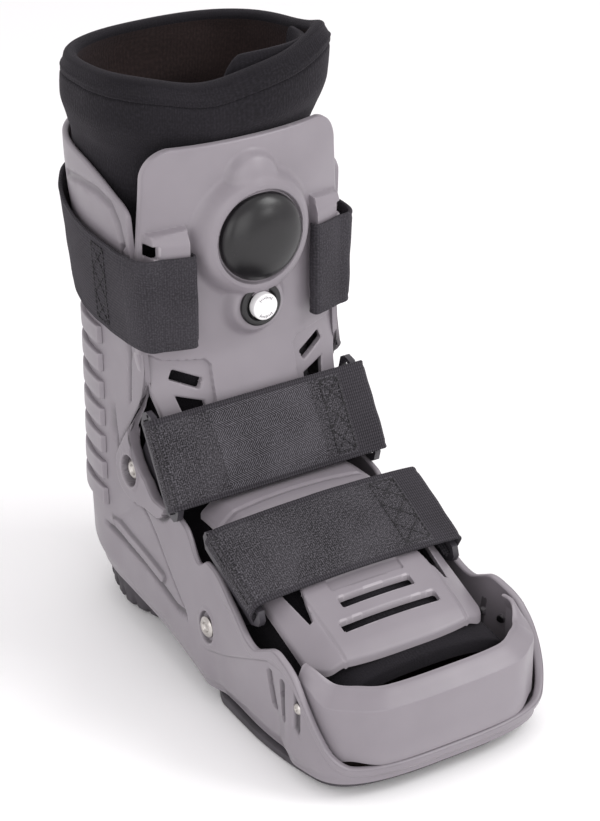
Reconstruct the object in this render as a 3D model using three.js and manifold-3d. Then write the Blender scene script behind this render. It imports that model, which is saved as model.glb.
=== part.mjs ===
// A short pneumatic walking boot, standing on its sole: a ribbed rigid shell with a rocker sole, a padded
// liner, a shin panel with its pump and valve, a foot plate, and three straps on rings and rivets.
// Millimetres. x runs to the wearer's left, y from the toe to the heel, z up from the floor.
import * as THREE from "three";
import { mergeVertices } from "three/addons/utils/BufferGeometryUtils.js";
import Module from "manifold-3d";

const wasm = await Module();
wasm.setup();

// Driving dimensions of the rigid shell
const soleLength = 291;
const soleWidth = 144;
const legWidth = soleWidth * 0.8472;
const legBack = soleLength * 0.4845;
const legFlare = 15;
const toeOffset = 6;
const shellHeight = 278;
const shellWall = 3.2;
const toeRounding = 38;
const legCentre = soleLength * 0.268;
const toeSquare = 3.2;
const heelSquare = 2.9;
const toeTurn = 0.2;
const heelTurn = 0.66;

// Ribs on the back of the shell
const ribCount = 9;
const ribPitch = shellHeight * 0.0594;
const ribHeight = 9;
const ribDepth = 2;
const ribSpread = 0.24;
const firstRib = shellHeight * 0.2662;

// Toe cap and footbed
const capWall = 2.8;
const capRimHeight = 59;
const capChamfer = 8;
const footbedThickness = 5;

// Shin panel and foot plate
const panelWall = 3;
const panelBottom = shellHeight * 0.4568;
const panelTop = shellHeight * 1.0468;
const panelWidth = legWidth * 1.0246;
const panelFront = soleLength * 0.1168;
const panelCurve = 13;
const plateWall = 3;
const plateWidth = soleWidth * 0.7569;
const plateSideDrop = 9.5;

// Pump, valve and strap blocks on the shin panel
const bulbRadius = 24;
const bulbRise = 13;
const collarWidth = 8;
const collarRise = 9;
const pumpHeight = shellHeight * 0.8597;
const valveHeight = shellHeight * 0.7194;
const valveRadius = 11;
const valveRise = 9;
const knobRadius = 7.4;
const knobLength = 5;
const blockWidth = 17;
const blockRise = 7;
const blockBottom = shellHeight * 0.6906;
const blockTop = shellHeight * 0.8957;
const pumpDomeLift = 30;
const ventLength = 18;
const ventHeight = 5;
const ventTurn = 0.45;

// Liner
const linerWall = 7;

// Straps, rings and rivets
const strapWidth = 50;
const strapThickness = 2.2;
const ringBar = 3.6;
const rivetRadius = 5.6;
const rivetHeight = 2;
const rivetShank = 2.4;
const rivetRecess = 8;
const toeHole = 2.2;
const ringFrame = 4;
const ringDepth = 14;
const slotDepth = 7;
const ringEye = 7;

// Clearance between neighbouring pieces, and how finely the meshes are kept
const gap = 0.35;
const fineness = 0.03;

// Places that follow from the sizes
const toeFront = -soleLength / 2;
const heelBack = soleLength / 2;
const toeShoulder = toeFront + toeRounding;

// A row in millimetres from a row whose columns are shares of sizes.
function follow(row, sizes) {
  return Object.fromEntries(Object.entries(row).map(([key, value]) => [key, value * (sizes[key] ?? 1)]));
}

// Height of the shell's upper edge: place is a share of the sole's length from the toe,
// height a share of the shell's height
const EDGE = [
  { place: 0.0, height: 0.063 },
  { place: 0.026, height: 0.068 },
  { place: 0.046, height: 0.087 },
  { place: 0.072, height: 0.13 },
  { place: 0.104, height: 0.18 },
  { place: 0.135, height: 0.218 },
  { place: 0.165, height: 0.236 },
  { place: 0.194, height: 0.245 },
  { place: 0.225, height: 0.232 },
  { place: 0.246, height: 0.223 },
  { place: 0.33, height: 0.263 },
  { place: 0.415, height: 0.302 },
  { place: 0.434, height: 0.304 },
  { place: 0.462, height: 0.288 },
  { place: 0.52, height: 0.338 },
  { place: 0.56, height: 0.349 },
  { place: 0.614, height: 0.35 },
  { place: 0.645, height: 0.374 },
  { place: 0.666, height: 0.41 },
  { place: 0.676, height: 0.92 },
  { place: 0.72, height: 0.944 },
  { place: 0.84, height: 0.985 },
  { place: 1.0, height: 1.0 },
];

// Outline of the base: half is a share of half the sole's width
const BASE = [
  { place: 0.0, half: 0.995 },
  { place: 0.13, half: 1.0 },
  { place: 0.3, half: 0.965 },
  { place: 0.5, half: 0.905 },
  { place: 0.7, half: 0.84 },
  { place: 1.0, half: 0.8 },
];

// Underside of the shell and tread of the outsole, in mm above the floor
const UNDER = [
  { place: 0.0, shell: 10, tread: 7 },
  { place: 0.1, shell: 7, tread: 1.5 },
  { place: 0.19, shell: 6.5, tread: 0 },
  { place: 0.4, shell: 8, tread: 0 },
  { place: 0.5, shell: 14, tread: 0 },
  { place: 0.6, shell: 19, tread: 0 },
  { place: 0.74, shell: 22, tread: 0 },
  { place: 0.86, shell: 26, tread: 5 },
  { place: 0.94, shell: 33, tread: 13 },
  { place: 1.0, shell: 44, tread: 28 },
];

// Middle line of the foot plate from the instep to the toes: y in sole lengths, z in shell heights
const PLATE = [
  { y: 0.03436, z: 0.3795 },
  { y: -0.01375, z: 0.3795 },
  { y: -0.08247, z: 0.3705 },
  { y: -0.15808, z: 0.34173 },
  { y: -0.23368, z: 0.30935 },
  { y: -0.30241, z: 0.27878 },
  { y: -0.35739, z: 0.2518 },
  { y: -0.38832, z: 0.23022 },
].map((row) => follow(row, { y: soleLength, z: shellHeight }));

// Sections of the liner: a front and a back point in the middle plane and half the width, as shares of
// the sole's length, the shell's height and the sole's width
const LINER = [
  { fy: 0.13402, fz: 1.14748, by: 0.51203, bz: 1.14388, half: 0.45833 },
  { fy: 0.12027, fz: 1.11871, by: 0.5189, bz: 1.11511, half: 0.47917 },
  { fy: 0.12371, fz: 1.07914, by: 0.5189, bz: 1.07914, half: 0.47917 },
  { fy: 0.13746, fz: 1.04317, by: 0.50859, bz: 1.03597, half: 0.45139 },
  { fy: 0.14089, fz: 1.0036, by: 0.50859, bz: 1.00719, half: 0.42708 },
  { fy: 0.13402, fz: 0.86331, by: 0.49828, bz: 0.86331, half: 0.41319 },
  { fy: 0.13402, fz: 0.71942, by: 0.47766, bz: 0.71942, half: 0.39583 },
  { fy: 0.13058, fz: 0.59353, by: 0.46735, bz: 0.57554, half: 0.38889 },
  { fy: 0.10653, fz: 0.51079, by: 0.46735, bz: 0.43885, half: 0.35764 },
  { fy: 0.06529, fz: 0.44604, by: 0.47079, bz: 0.30935, half: 0.35069 },
  { fy: 0.02749, fz: 0.35252, by: 0.46735, bz: 0.22302, half: 0.34722 },
  { fy: -0.02062, fz: 0.35072, by: 0.41924, bz: 0.15468, half: 0.34722 },
  { fy: -0.08247, fz: 0.34532, by: 0.32302, bz: 0.1259, half: 0.35069 },
  { fy: -0.15808, fz: 0.32374, by: 0.15808, bz: 0.11151, half: 0.35764 },
  { fy: -0.23368, fz: 0.29137, by: -0.02749, bz: 0.08633, half: 0.36111 },
  { fy: -0.30241, fz: 0.25899, by: -0.20619, bz: 0.06655, half: 0.36806 },
  { fy: -0.36426, fz: 0.22662, by: -0.34364, bz: 0.06295, half: 0.375 },
  { fy: -0.40893, fz: 0.20504, by: -0.4055, bz: 0.06475, half: 0.375 },
].map((row) => {
  const heights = { fz: shellHeight, bz: shellHeight };
  return follow(row, { fy: soleLength, by: soleLength, half: soleWidth, ...heights });
});

// Three holes low on each side wall beside the toes: y in sole lengths, z in shell heights
const TOE_HOLES = [
  { y: -0.29897, z: 0.16906 },
  { y: -0.33677, z: 0.15827 },
  { y: -0.37801, z: 0.15468 },
].map((row) => follow(row, { y: soleLength, z: shellHeight }));

// The two straps over the foot: middle of the strap's end, its direction across the strap, its bulge in
// mm, and its bar, arm and rivet, as shares of the same sizes
const HOLDS = {
  ankle: holdAt({
    ...{ y: 0.05842, z: 0.45683, along: 0.499, up: 0.867, bulge: 5 },
    ...{ bar: 0.4375, arm: 0.37778, rivetY: 0.20275, rivetZ: 0.3777 },
  }),
  foot: holdAt({
    ...{ y: -0.15911, z: 0.33957, along: 0.884, up: 0.467, bulge: 6 },
    ...{ bar: 0.42361, arm: 0.39444, rivetY: -0.08247, rivetZ: 0.17986 },
  }),
};

// Middle line of the shin panel below its straight part: set forward from the front of the leg
const SHIN = [
  { z: 0.0, forward: 20 },
  { z: 0.07, forward: 11 },
  { z: 0.15, forward: 5 },
  { z: 0.3, forward: 0 },
  { z: 1.0, forward: 0 },
];

function holdAt(row) {
  const across = { bar: soleWidth, arm: soleWidth };
  return follow(row, { y: soleLength, z: shellHeight, rivetY: soleLength, rivetZ: shellHeight, ...across });
}

function mix(a, b, t) {
  return a + (b - a) * t;
}

function ease(from, to, value) {
  const t = Math.min(1, Math.max(0, (value - from) / (to - from)));
  return t * t * (3 - 2 * t);
}

// Straight interpolation in a table between the rows on either side of a value.
function look(table, key, value, column) {
  const down = table[0][key] > table[1][key];
  const order = down ? [...table].reverse() : table;
  if (value <= order[0][key]) return order[0][column];
  for (let i = 1; i < order.length; i += 1) {
    const a = order[i - 1];
    const b = order[i];
    if (value <= b[key]) return mix(a[column], b[column], (value - a[key]) / (b[key] - a[key]));
  }
  return order[order.length - 1][column];
}

function place(y) {
  return (y - toeFront) / soleLength;
}

// Half-width of the shell's outline between its round ends, at a place along the boot and a height.
function sideHalf(y, z) {
  const base = (look(BASE, "place", place(y), "half") * soleWidth) / 2;
  const flare = ease(shellHeight * 0.6, shellHeight, z) * legFlare * 0.35;
  const leg = legWidth / 2 + flare;
  return mix(base, leg, ease(shellHeight * 0.18, shellHeight * 0.42, z));
}

function backAt(z) {
  const leg = legBack + ease(shellHeight * 0.6, shellHeight, z) * legFlare;
  const low = heelBack - 3 * (1 - ease(shellHeight * 0.12, shellHeight * 0.28, z));
  return mix(low, leg, ease(shellHeight * 0.22, shellHeight * 0.42, z));
}

// The place along the boot that a turn on its straight part passes.
function turnPlace(turn) {
  return mix(toeShoulder, legCentre, (turn - toeTurn) / (heelTurn - toeTurn));
}

// How far the toe box leans to the wearer's left at a place along the boot.
function lean(y) {
  return toeOffset * ease(0.3, 0.06, place(y));
}

// Half-width of the shell's outline anywhere, rounded at the heel and at the toe.
function outlineHalf(y, z, inset) {
  const half = sideHalf(y, z) - inset;
  if (y > legCentre) {
    const t = Math.min(1, (y - legCentre) / (backAt(z) - inset - legCentre));
    return half * (1 - t ** heelSquare) ** (1 / heelSquare);
  }
  if (y < toeShoulder) {
    const t = Math.min(1, (toeShoulder - y) / (toeShoulder - toeFront - inset));
    return half * (1 - t ** toeSquare) ** (1 / toeSquare);
  }
  return half;
}

// A point of the outline: turn goes from 0 at the toe to 1 at the heel on the wearer's left, and on to 2
// back at the toe on the other side.
function outlinePoint(turn, z, inset) {
  const side = turn > 1 || turn < 0 ? -1 : 1;
  const t = turn > 1 ? 2 - turn : Math.abs(turn);
  let across = 0;
  let y = 0;
  if (t < toeTurn) {
    const angle = ((t / toeTurn) * Math.PI) / 2;
    const depth = toeShoulder - toeFront - inset;
    y = toeShoulder - depth * Math.cos(angle) ** (2 / toeSquare);
    across = (sideHalf(y, z) - inset) * Math.sin(angle) ** (2 / toeSquare);
  } else if (t > heelTurn) {
    const angle = (((t - heelTurn) / (1 - heelTurn)) * Math.PI) / 2;
    y = legCentre + (backAt(z) - inset - legCentre) * Math.sin(angle) ** (2 / heelSquare);
    across = (sideHalf(legCentre, z) - inset) * Math.abs(Math.cos(angle)) ** (2 / heelSquare);
  } else {
    y = mix(toeShoulder, legCentre, (t - toeTurn) / (heelTurn - toeTurn));
    across = sideHalf(y, z) - inset;
  }
  return [side * across + lean(y), y];
}

// The turn whose straight part passes a place along the boot.
function turnAt(y) {
  return mix(toeTurn, heelTurn, (y - toeShoulder) / (legCentre - toeShoulder));
}

// A manifold-3d solid from a list of points and a list of triangles.
function solidFrom(points, faces) {
  const geometry = new THREE.BufferGeometry();
  geometry.setAttribute("position", new THREE.Float32BufferAttribute(points.flat(), 3));
  geometry.setIndex(faces.flat());
  const merged = mergeVertices(geometry, 1e-3);
  const solid = new wasm.Manifold(
    new wasm.Mesh({
      numProp: 3,
      vertProperties: new Float32Array(merged.attributes.position.array),
      triVerts: new Uint32Array(merged.index.array),
    }),
  );
  if (solid.volume() >= 0) return solid;
  return solidFrom(points, faces.map(([a, b, c]) => [a, c, b]));
}

// A closed sheet with thickness: front and back give the two faces for u and v from 0 to 1, over lists of
// u and v. A sheet that closes on itself in u has round true.
function sheet(us, vs, front, back, round = false) {
  const points = [];
  const faces = [];
  const nu = us.length;
  const nv = vs.length;
  for (const face of [front, back]) {
    for (const v of vs) {
      for (const u of us) points.push(face(u, v));
    }
  }
  const at = (side, j, i) => side * nu * nv + j * nu + (i % nu);
  const steps = round ? nu : nu - 1;
  const quad = (a, b, c, d) => faces.push([a, b, c], [a, c, d]);
  for (let j = 0; j < nv - 1; j += 1) {
    for (let i = 0; i < steps; i += 1) {
      quad(at(0, j, i), at(0, j, i + 1), at(0, j + 1, i + 1), at(0, j + 1, i));
      quad(at(1, j, i), at(1, j + 1, i), at(1, j + 1, i + 1), at(1, j, i + 1));
    }
  }
  for (let i = 0; i < steps; i += 1) {
    quad(at(0, 0, i), at(1, 0, i), at(1, 0, i + 1), at(0, 0, i + 1));
    quad(at(0, nv - 1, i), at(0, nv - 1, i + 1), at(1, nv - 1, i + 1), at(1, nv - 1, i));
  }
  if (!round) {
    for (let j = 0; j < nv - 1; j += 1) {
      quad(at(0, j, 0), at(0, j + 1, 0), at(1, j + 1, 0), at(1, j, 0));
      quad(at(0, j, nu - 1), at(1, j, nu - 1), at(1, j + 1, nu - 1), at(0, j + 1, nu - 1));
    }
  }
  return solidFrom(points, faces);
}

function steps(count) {
  return Array.from({ length: count + 1 }, (_, i) => i / count);
}

// A three.js geometry as a manifold-3d solid.
function solidOf(geometry) {
  const bare = new THREE.BufferGeometry();
  bare.setAttribute("position", geometry.getAttribute("position"));
  if (geometry.index) bare.setIndex(geometry.index);
  const merged = mergeVertices(bare, 1e-3);
  const points = [];
  const attribute = merged.attributes.position;
  for (let i = 0; i < attribute.count; i += 1) {
    points.push([attribute.getX(i), attribute.getY(i), attribute.getZ(i)]);
  }
  const index = merged.index.array;
  const faces = [];
  for (let i = 0; i < index.length; i += 3) {
    const [a, b, c] = [index[i], index[i + 1], index[i + 2]];
    if (a !== b && b !== c && a !== c) faces.push([a, b, c]);
  }
  return solidFrom(points, faces);
}

// A turned solid about an axis through a point: the profile lists radius and height along the axis.
function turned(profile, sides, centre, axis) {
  const outline = profile.map(([radius, height]) => new THREE.Vector2(radius, height));
  const geometry = new THREE.LatheGeometry(outline, sides);
  const direction = new THREE.Vector3(...axis).normalize();
  const turn = new THREE.Quaternion().setFromUnitVectors(new THREE.Vector3(0, 1, 0), direction);
  geometry.applyQuaternion(turn);
  geometry.translate(...centre);
  return solidOf(geometry);
}

function disc(radius, from, to, sides, centre, axis) {
  return turned([[0, from], [radius, from], [radius, to], [0, to]], sides, centre, axis);
}

function box(size, centre, turn = [0, 0, 0]) {
  const geometry = new THREE.BoxGeometry(...size);
  geometry.applyQuaternion(new THREE.Quaternion().setFromEuler(new THREE.Euler(...turn)));
  geometry.translate(...centre);
  return solidOf(geometry);
}

// The turns at which the shell's ring of wall is cut into columns, once round from the toe.
function ringTurns() {
  const half = [toeTurn, heelTurn];
  for (let i = 0; i < 6; i += 1) half.push((toeTurn * i) / 6);
  for (const row of EDGE) {
    const y = toeFront + row.place * soleLength;
    if (y > toeShoulder + 1 && y < legCentre - 1) half.push(turnAt(y));
  }
  for (let i = 1; i <= 7; i += 1) half.push(mix(heelTurn, 1, i / 7));
  half.sort((a, b) => a - b);
  const other = half.slice(1, -1).reverse().map((t) => 2 - t);
  return [...half, ...other];
}

function edgeHeight(y) {
  return look(EDGE, "place", place(y), "height") * shellHeight;
}

function underShell(y) {
  return look(UNDER, "place", place(y), "shell");
}

function tread(y) {
  return look(UNDER, "place", place(y), "tread");
}

// How far the front edge of the shell's leg part stands from a straight upright, at a height.
function edgeSway(z) {
  return 10 * ease(100, 126, z) * ease(156, 130, z) - 5 * ease(138, 158, z) * ease(210, 165, z);
}

// A point of the shell's wall: share of the height from the underside to the upper edge.
function wallPoint(turn, share, inset) {
  const guide = outlinePoint(turn, shellHeight * 0.3, 0)[1];
  const low = underShell(guide);
  const z = mix(low, edgeHeight(guide), share);
  const swayed = guide > 46 && guide < legCentre ? edgeSway(z) * ease(legCentre, 52, guide) : 0;
  const moved = turn > 1 ? 2 - turnAt(turnPlace(2 - turn) + swayed) : turnAt(turnPlace(turn) + swayed);
  const [x, y] = outlinePoint(swayed === 0 ? turn : moved, z, inset);
  const tuck = 5 * (1 - ease(low, low + 11, z));
  const middle = lean(y);
  const back = y > legCentre ? ((y - legCentre) / (heelBack - legCentre)) * tuck : 0;
  const front = y < toeShoulder ? ((toeShoulder - y) / toeRounding) * tuck * 0.2 : 0;
  return [middle + (x - middle) * (1 - tuck / 90), y - back + front, z];
}

// The shell: wall all round, floor, ribs on the back.
function shell() {
  const rows = [0, 0.06, 0.15, 0.3, 0.5, 0.72, 0.88, 1];
  const wall = sheet(
    ringTurns(),
    rows,
    (u, v) => wallPoint(u, v, 0),
    (u, v) => wallPoint(u, v, shellWall),
    true,
  );
  let made = wall.add(shellFloor());
  for (let i = 0; i < ribCount; i += 1) made = made.add(rib(firstRib + i * ribPitch));
  for (const hold of Object.values(HOLDS)) {
    for (const side of [-1, 1]) {
      const out = sideHalf(hold.rivetY, hold.rivetZ);
      const middle = [side * out, hold.rivetY, hold.rivetZ];
      made = made.subtract(disc(rivetShank + gap, -14, 8, 12, middle, [side, 0, 0]));
      made = made.subtract(disc(rivetRecess, -0.9, 8, 18, middle, [side, 0, 0]));
    }
  }
  for (const side of [-1, 1]) {
    for (const hole of TOE_HOLES) {
      const middle = [side * sideHalf(hole.y, hole.z) + lean(hole.y), hole.y, hole.z];
      made = made.subtract(disc(toeHole, -shellWall - 1, 6, 10, middle, [side, 0, 0]));
    }
  }
  return made;
}

// Places along the boot at which the floor and the sole are cut into rows.
function solePlaces() {
  return [0.004, 0.012, 0.03, 0.06, 0.1, 0.15, 0.25, 0.37, 0.5, 0.62, 0.74, 0.83, 0.9, 0.95, 0.98];
}

function shellFloor() {
  const half = (y) => outlineHalf(y, underShell(y), 2.4) - 3.5;
  const point = (u, y, lift) => [(2 * u - 1) * half(y) + lean(y), y, underShell(y) + lift];
  const ys = solePlaces().map((p) => toeFront + 2.8 + p * (soleLength - 14));
  return sheet(
    [0, 0.5, 1],
    ys,
    (u, y) => point(u, y, 0.4),
    (u, y) => point(u, y, shellWall + 0.4),
  );
}

// One rib across the back of the shell.
function rib(middle) {
  const point = (u, v, out) => {
    const z = middle + (v - 0.5) * ribHeight;
    const [x, y] = outlinePoint(mix(1 - ribSpread, 1 + ribSpread, u), z, -out);
    return [x, y, z];
  };
  return sheet(
    steps(6),
    [0, 1],
    (u, v) => point(u, v, ribDepth),
    (u, v) => point(u, v, -shellWall / 2),
  );
}

// The outsole: a solid slab under the shell with the rocker curve on its underside.
function outsole() {
  const arch = (y) => 9 * ease(0.4, 0.5, place(y)) * ease(0.82, 0.7, place(y));
  const half = (y) => outlineHalf(y, 8, 4.5) - 3 - arch(y);
  const ys = solePlaces().map((p) => toeFront + 4.6 + p * (soleLength - 18));
  return sheet(
    [0, 0.5, 1],
    ys,
    (u, y) => [(2 * u - 1) * half(y) + lean(y), y, tread(y)],
    (u, y) => [(2 * u - 1) * half(y) + lean(y), y, underShell(y) - gap - 0.1],
  );
}

// The footbed lies on the shell's floor.
function footbed() {
  const ys = solePlaces().map((p) => toeFront + 8 + p * (soleLength - 26));
  const half = (y) => outlineHalf(y, 20, shellWall + 3) - 5;
  const low = (y) => underShell(y) + shellWall + 0.4 + gap;
  return sheet(
    [0, 0.5, 1],
    ys,
    (u, y) => [(2 * u - 1) * half(y) + lean(y), y, low(y)],
    (u, y) => [(2 * u - 1) * half(y) + lean(y), y, low(y) + footbedThickness],
  );
}

// The toe cap: a bent wall round the toes on the shell's rim, tucked inside the side walls, with a chamfer.
function toeCap() {
  const end = turnAt(toeShoulder + 4);
  const bend = 0.7;
  const point = (turn, v, wall) => {
    const t = Math.abs(turn);
    const tuck = ease(0.05, 0.115, t);
    const y0 = outlinePoint(t, 20, 0)[1];
    const inset = mix(0.9, shellWall + gap + 0.9, tuck) + wall;
    const inside = underShell(y0) + shellWall + footbedThickness + 4;
    const low = mix(edgeHeight(toeFront) + gap + 0.9, inside, tuck);
    const ear = 7 * ease(toeShoulder - 20, toeShoulder, y0);
    const top = capRimHeight + ear;
    const shoulder = top - capChamfer;
    const z = v < bend ? mix(low, shoulder, v / bend) : mix(shoulder, top, (v - bend) / (1 - bend));
    const slope = v < bend ? 0 : ((v - bend) / (1 - bend)) * capChamfer * (1 - ear / 10);
    const [x, y] = outlinePoint(turn, z, inset + slope);
    return [x, y, z];
  };
  return sheet(
    steps(26).map((s) => mix(-end, end, s)),
    [0, 0.35, bend, 1],
    (u, v) => point(u, v, 0),
    (u, v) => point(u, v, capWall),
  );
}

// Where the face of the shin panel stands, across and up.
function panelFace(x, z) {
  const share = (z - panelBottom) / (panelTop - panelBottom);
  const forward = look(SHIN, "z", share, "forward");
  const across = Math.abs(x) / (panelWidth / 2);
  return panelFront - forward + panelCurve * across ** 2.3;
}

// Half-width of the shin panel at a height: round at the top corners, widest at the ankle.
function panelHalf(z) {
  const share = (z - panelBottom) / (panelTop - panelBottom);
  const corner = 16;
  const near = Math.max(0, z - (panelTop - corner));
  const round = corner - Math.sqrt(Math.max(0, corner ** 2 - near ** 2));
  const narrow = mix(1, 0.94, ease(0.5, 1, share)) * mix(0.87, 1, ease(0.05, 0.32, share));
  return (panelWidth / 2) * narrow - round;
}

// A round boss on the face of the shin panel, from the pump's or the valve's middle.
function faceBoss(profile, sides, x, z) {
  return turned(profile, sides, [x, panelFace(x, z), z], [0, -1, 0]);
}

// The raised block under one end of the calf strap.
function strapBlock(side) {
  const from = side * (panelWidth / 2 - 7);
  const to = side * (panelWidth / 2 - 7 - blockWidth);
  const point = (u, v, rise) => {
    const x = mix(from, to, u);
    const z = mix(blockBottom, blockTop, v);
    return [x, panelFace(x, z) - rise * mix(1, 0.45, ease(0.84, 1, v)), z];
  };
  return sheet(
    steps(3),
    [0, 0.84, 1],
    (u, v) => point(u, v, blockRise),
    (u, v) => point(u, v, -1.2),
  );
}

function shinPanel() {
  const rows = [0, 0.07, 0.15, 0.3, 0.6, 0.9, 0.94, 0.97, 0.99, 1];
  const point = (u, v, back) => {
    const z = mix(panelBottom, panelTop, v);
    const x = (2 * u - 1) * panelHalf(z - 0.6);
    return [x, panelFace(x, z) + back, z];
  };
  let made = sheet(
    steps(14),
    rows,
    (u, v) => point(u, v, 0),
    (u, v) => point(u, v, panelWall),
  );
  const outer = bulbRadius + collarWidth;
  const pumpRim = [[0, -1.5], [outer + 5, -1.5], [outer, collarRise * 0.55], [outer - 4, collarRise]];
  made = made.add(faceBoss([...pumpRim, [0, collarRise]], 32, 0, pumpHeight));
  const low = valveRadius + 4;
  const valveRim = [[0, -1.5], [low, -1.5], [low - 1.5, collarRise * 0.7], [0, collarRise * 0.7]];
  made = made.add(faceBoss(valveRim, 24, 0, valveHeight));
  const dome = [[0, -1.5], [16, -1.5], [12.5, 3.4], [7, 5.6], [0, 6.4]];
  made = made.add(faceBoss(dome, 20, -1, pumpHeight + pumpDomeLift));
  for (const side of [-1, 1]) made = made.add(strapBlock(side));
  const well = [[0, 0.4], [bulbRadius + gap, 0.4], [bulbRadius + gap, 30], [0, 30]];
  made = made.subtract(faceBoss(well, 32, 0, pumpHeight));
  const pit = [[0, 0.6], [valveRadius + gap, 0.6], [valveRadius + gap, 30], [0, 30]];
  made = made.subtract(faceBoss(pit, 28, 0, valveHeight));
  for (const side of [-1, 1]) {
    for (const vent of [{ x: 40, z: 158 }, { x: 40, z: 146 }]) {
      const turn = [0, side * -ventTurn, 0];
      const middle = [side * vent.x, panelFace(vent.x, vent.z), vent.z];
      made = made.subtract(box([ventLength, 40, ventHeight], middle, turn));
    }
  }
  return made;
}

function bulb() {
  const face = [0, panelFace(0, pumpHeight), pumpHeight];
  const profile = [[0, 0.4 + gap], [bulbRadius - gap, 0.4 + gap]];
  for (const s of steps(6)) {
    const angle = (s * Math.PI) / 2;
    profile.push([(bulbRadius - gap) * Math.cos(angle), 3 + bulbRise * Math.sin(angle)]);
  }
  profile[profile.length - 1][0] = 0;
  return turned(profile, 26, face, [0, -1, 0]);
}

function valveBody() {
  const face = [0, panelFace(0, valveHeight), valveHeight];
  return turned(
    [
      [0, 0.6 + gap],
      [valveRadius, 0.6 + gap],
      [valveRadius, valveRise - 1.5],
      [valveRadius - 1.5, valveRise],
      [knobRadius + gap, valveRise],
      [knobRadius + gap, valveRise - 2.4],
      [0, valveRise - 2.4],
    ],
    28,
    face,
    [0, -1, 0],
  );
}

function valveKnob() {
  const face = [0, panelFace(0, valveHeight), valveHeight];
  const low = valveRise - 2.4 + gap;
  return turned(
    [
      [0, low],
      [knobRadius, low],
      [knobRadius, low + knobLength - 0.8],
      [knobRadius - 0.8, low + knobLength],
      [0, low + knobLength],
    ],
    24,
    face,
    [0, -1, 0],
  );
}

// Face of the foot plate: height above the floor at a place across and along.
function plateFace(x, y) {
  const across = Math.abs(x) / (plateWidth / 2);
  const fold = Math.max(0, across - 0.72) / 0.28;
  return look(PLATE, "y", y, "z") - 3 * across ** 2 - plateSideDrop * fold ** 1.2;
}

function footPlate() {
  const front = PLATE[PLATE.length - 1].y;
  const top = PLATE[0].y;
  const point = (u, v, down) => {
    const x = ((2 * u - 1) * plateWidth) / 2;
    const across = Math.abs(2 * u - 1);
    const bow = 9 * across ** 2.6;
    const y = mix(front + bow, top, v);
    const half = mix(1, 0.9, ease(0.3, 1, v));
    return [x * half, y, plateFace(x, y) - down];
  };
  let made = sheet(
    steps(18),
    [0, 0.06, 0.14, 0.28, 0.44, 0.6, 0.76, 0.9, 1],
    (u, v) => point(u, v, 0),
    (u, v) => point(u, v, plateWall),
  );
  for (const slot of [{ half: 24, y: -83, wide: 7 }, { half: 31, y: -95, wide: 6.5 }]) {
    made = made.subtract(box([2 * slot.half, slot.wide, 40], [0, slot.y, plateFace(0, slot.y)]));
  }
  for (const side of [-1, 1]) {
    const x = side * 42;
    made = made.subtract(box([4.5, 22, 40], [x, -78, plateFace(x, -78)], [0, 0, side * 0.25]));
  }
  return made;
}

// The liner: a padded tube round the leg and the foot, open at the collar and over the toes.
function liner() {
  const square = 2.5;
  const point = (angle, row, wall) => {
    const one = LINER[row];
    const cos = Math.cos(angle);
    const sin = Math.sin(angle);
    const ry = (one.fy - one.by) / 2;
    const rz = (one.fz - one.bz) / 2;
    const length = Math.hypot(ry, rz);
    const reach = (1 - wall / length) * Math.sign(cos) * Math.abs(cos) ** (2 / square);
    const half = (one.half - wall) * Math.sign(sin) * Math.abs(sin) ** (2 / square);
    const y = (one.fy + one.by) / 2 + ry * reach;
    return [half + lean(y), y, (one.fz + one.bz) / 2 + rz * reach];
  };
  const angles = steps(24).slice(0, -1).map((s) => (s + 0.0001) * 2 * Math.PI);
  return sheet(
    angles,
    LINER.map((_, i) => i),
    (u, v) => point(u, v, 0),
    (u, v) => point(u, v, linerWall),
    true,
  );
}

// A band with thickness along a path of points in the plane across the boot and out from the strap.
function band(hold, path, width) {
  const out = [-hold.up, hold.along];
  const at = (i, v, lift) => {
    const [x, s] = path[i];
    const before = path[Math.max(0, i - 1)];
    const after = path[Math.min(path.length - 1, i + 1)];
    const dx = after[0] - before[0];
    const ds = after[1] - before[1];
    const length = Math.hypot(dx, ds);
    const px = x - (ds / length) * lift;
    const ps = s + (dx / length) * lift;
    const h = (v - 0.5) * width;
    return [
      px + lean(hold.y) * 0.5,
      hold.y + h * hold.along + ps * out[0],
      hold.z + h * hold.up + ps * out[1],
    ];
  };
  return sheet(
    path.map((_, i) => i),
    [0, 1],
    (i, v) => at(i, v, strapThickness / 2),
    (i, v) => at(i, v, -strapThickness / 2),
  );
}

// A strap over the foot: bulged over the plate, its ends turned back round the bars of the rings.
function footStrap(hold) {
  const reach = (ringBar / 2) * 1.3 + gap + strapThickness / 2;
  const path = [];
  for (const s of steps(12)) {
    const x = (2 * s - 1) * hold.bar;
    path.push([x, (reach - ringBar / 2) * (x / hold.bar) ** 2 + hold.bulge * (1 - (x / hold.bar) ** 2)]);
  }
  const drop = path[path.length - 1][1] - reach;
  for (const s of steps(6).slice(1)) {
    const angle = Math.PI / 2 - s * Math.PI;
    path.push([hold.bar + reach * Math.cos(angle), drop + reach * Math.sin(angle)]);
  }
  path.push([hold.bar - 4, drop - reach]);
  const other = path.slice(13).reverse().map(([x, s]) => [-x, s]);
  return band(hold, [...other, ...path], strapWidth);
}

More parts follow.
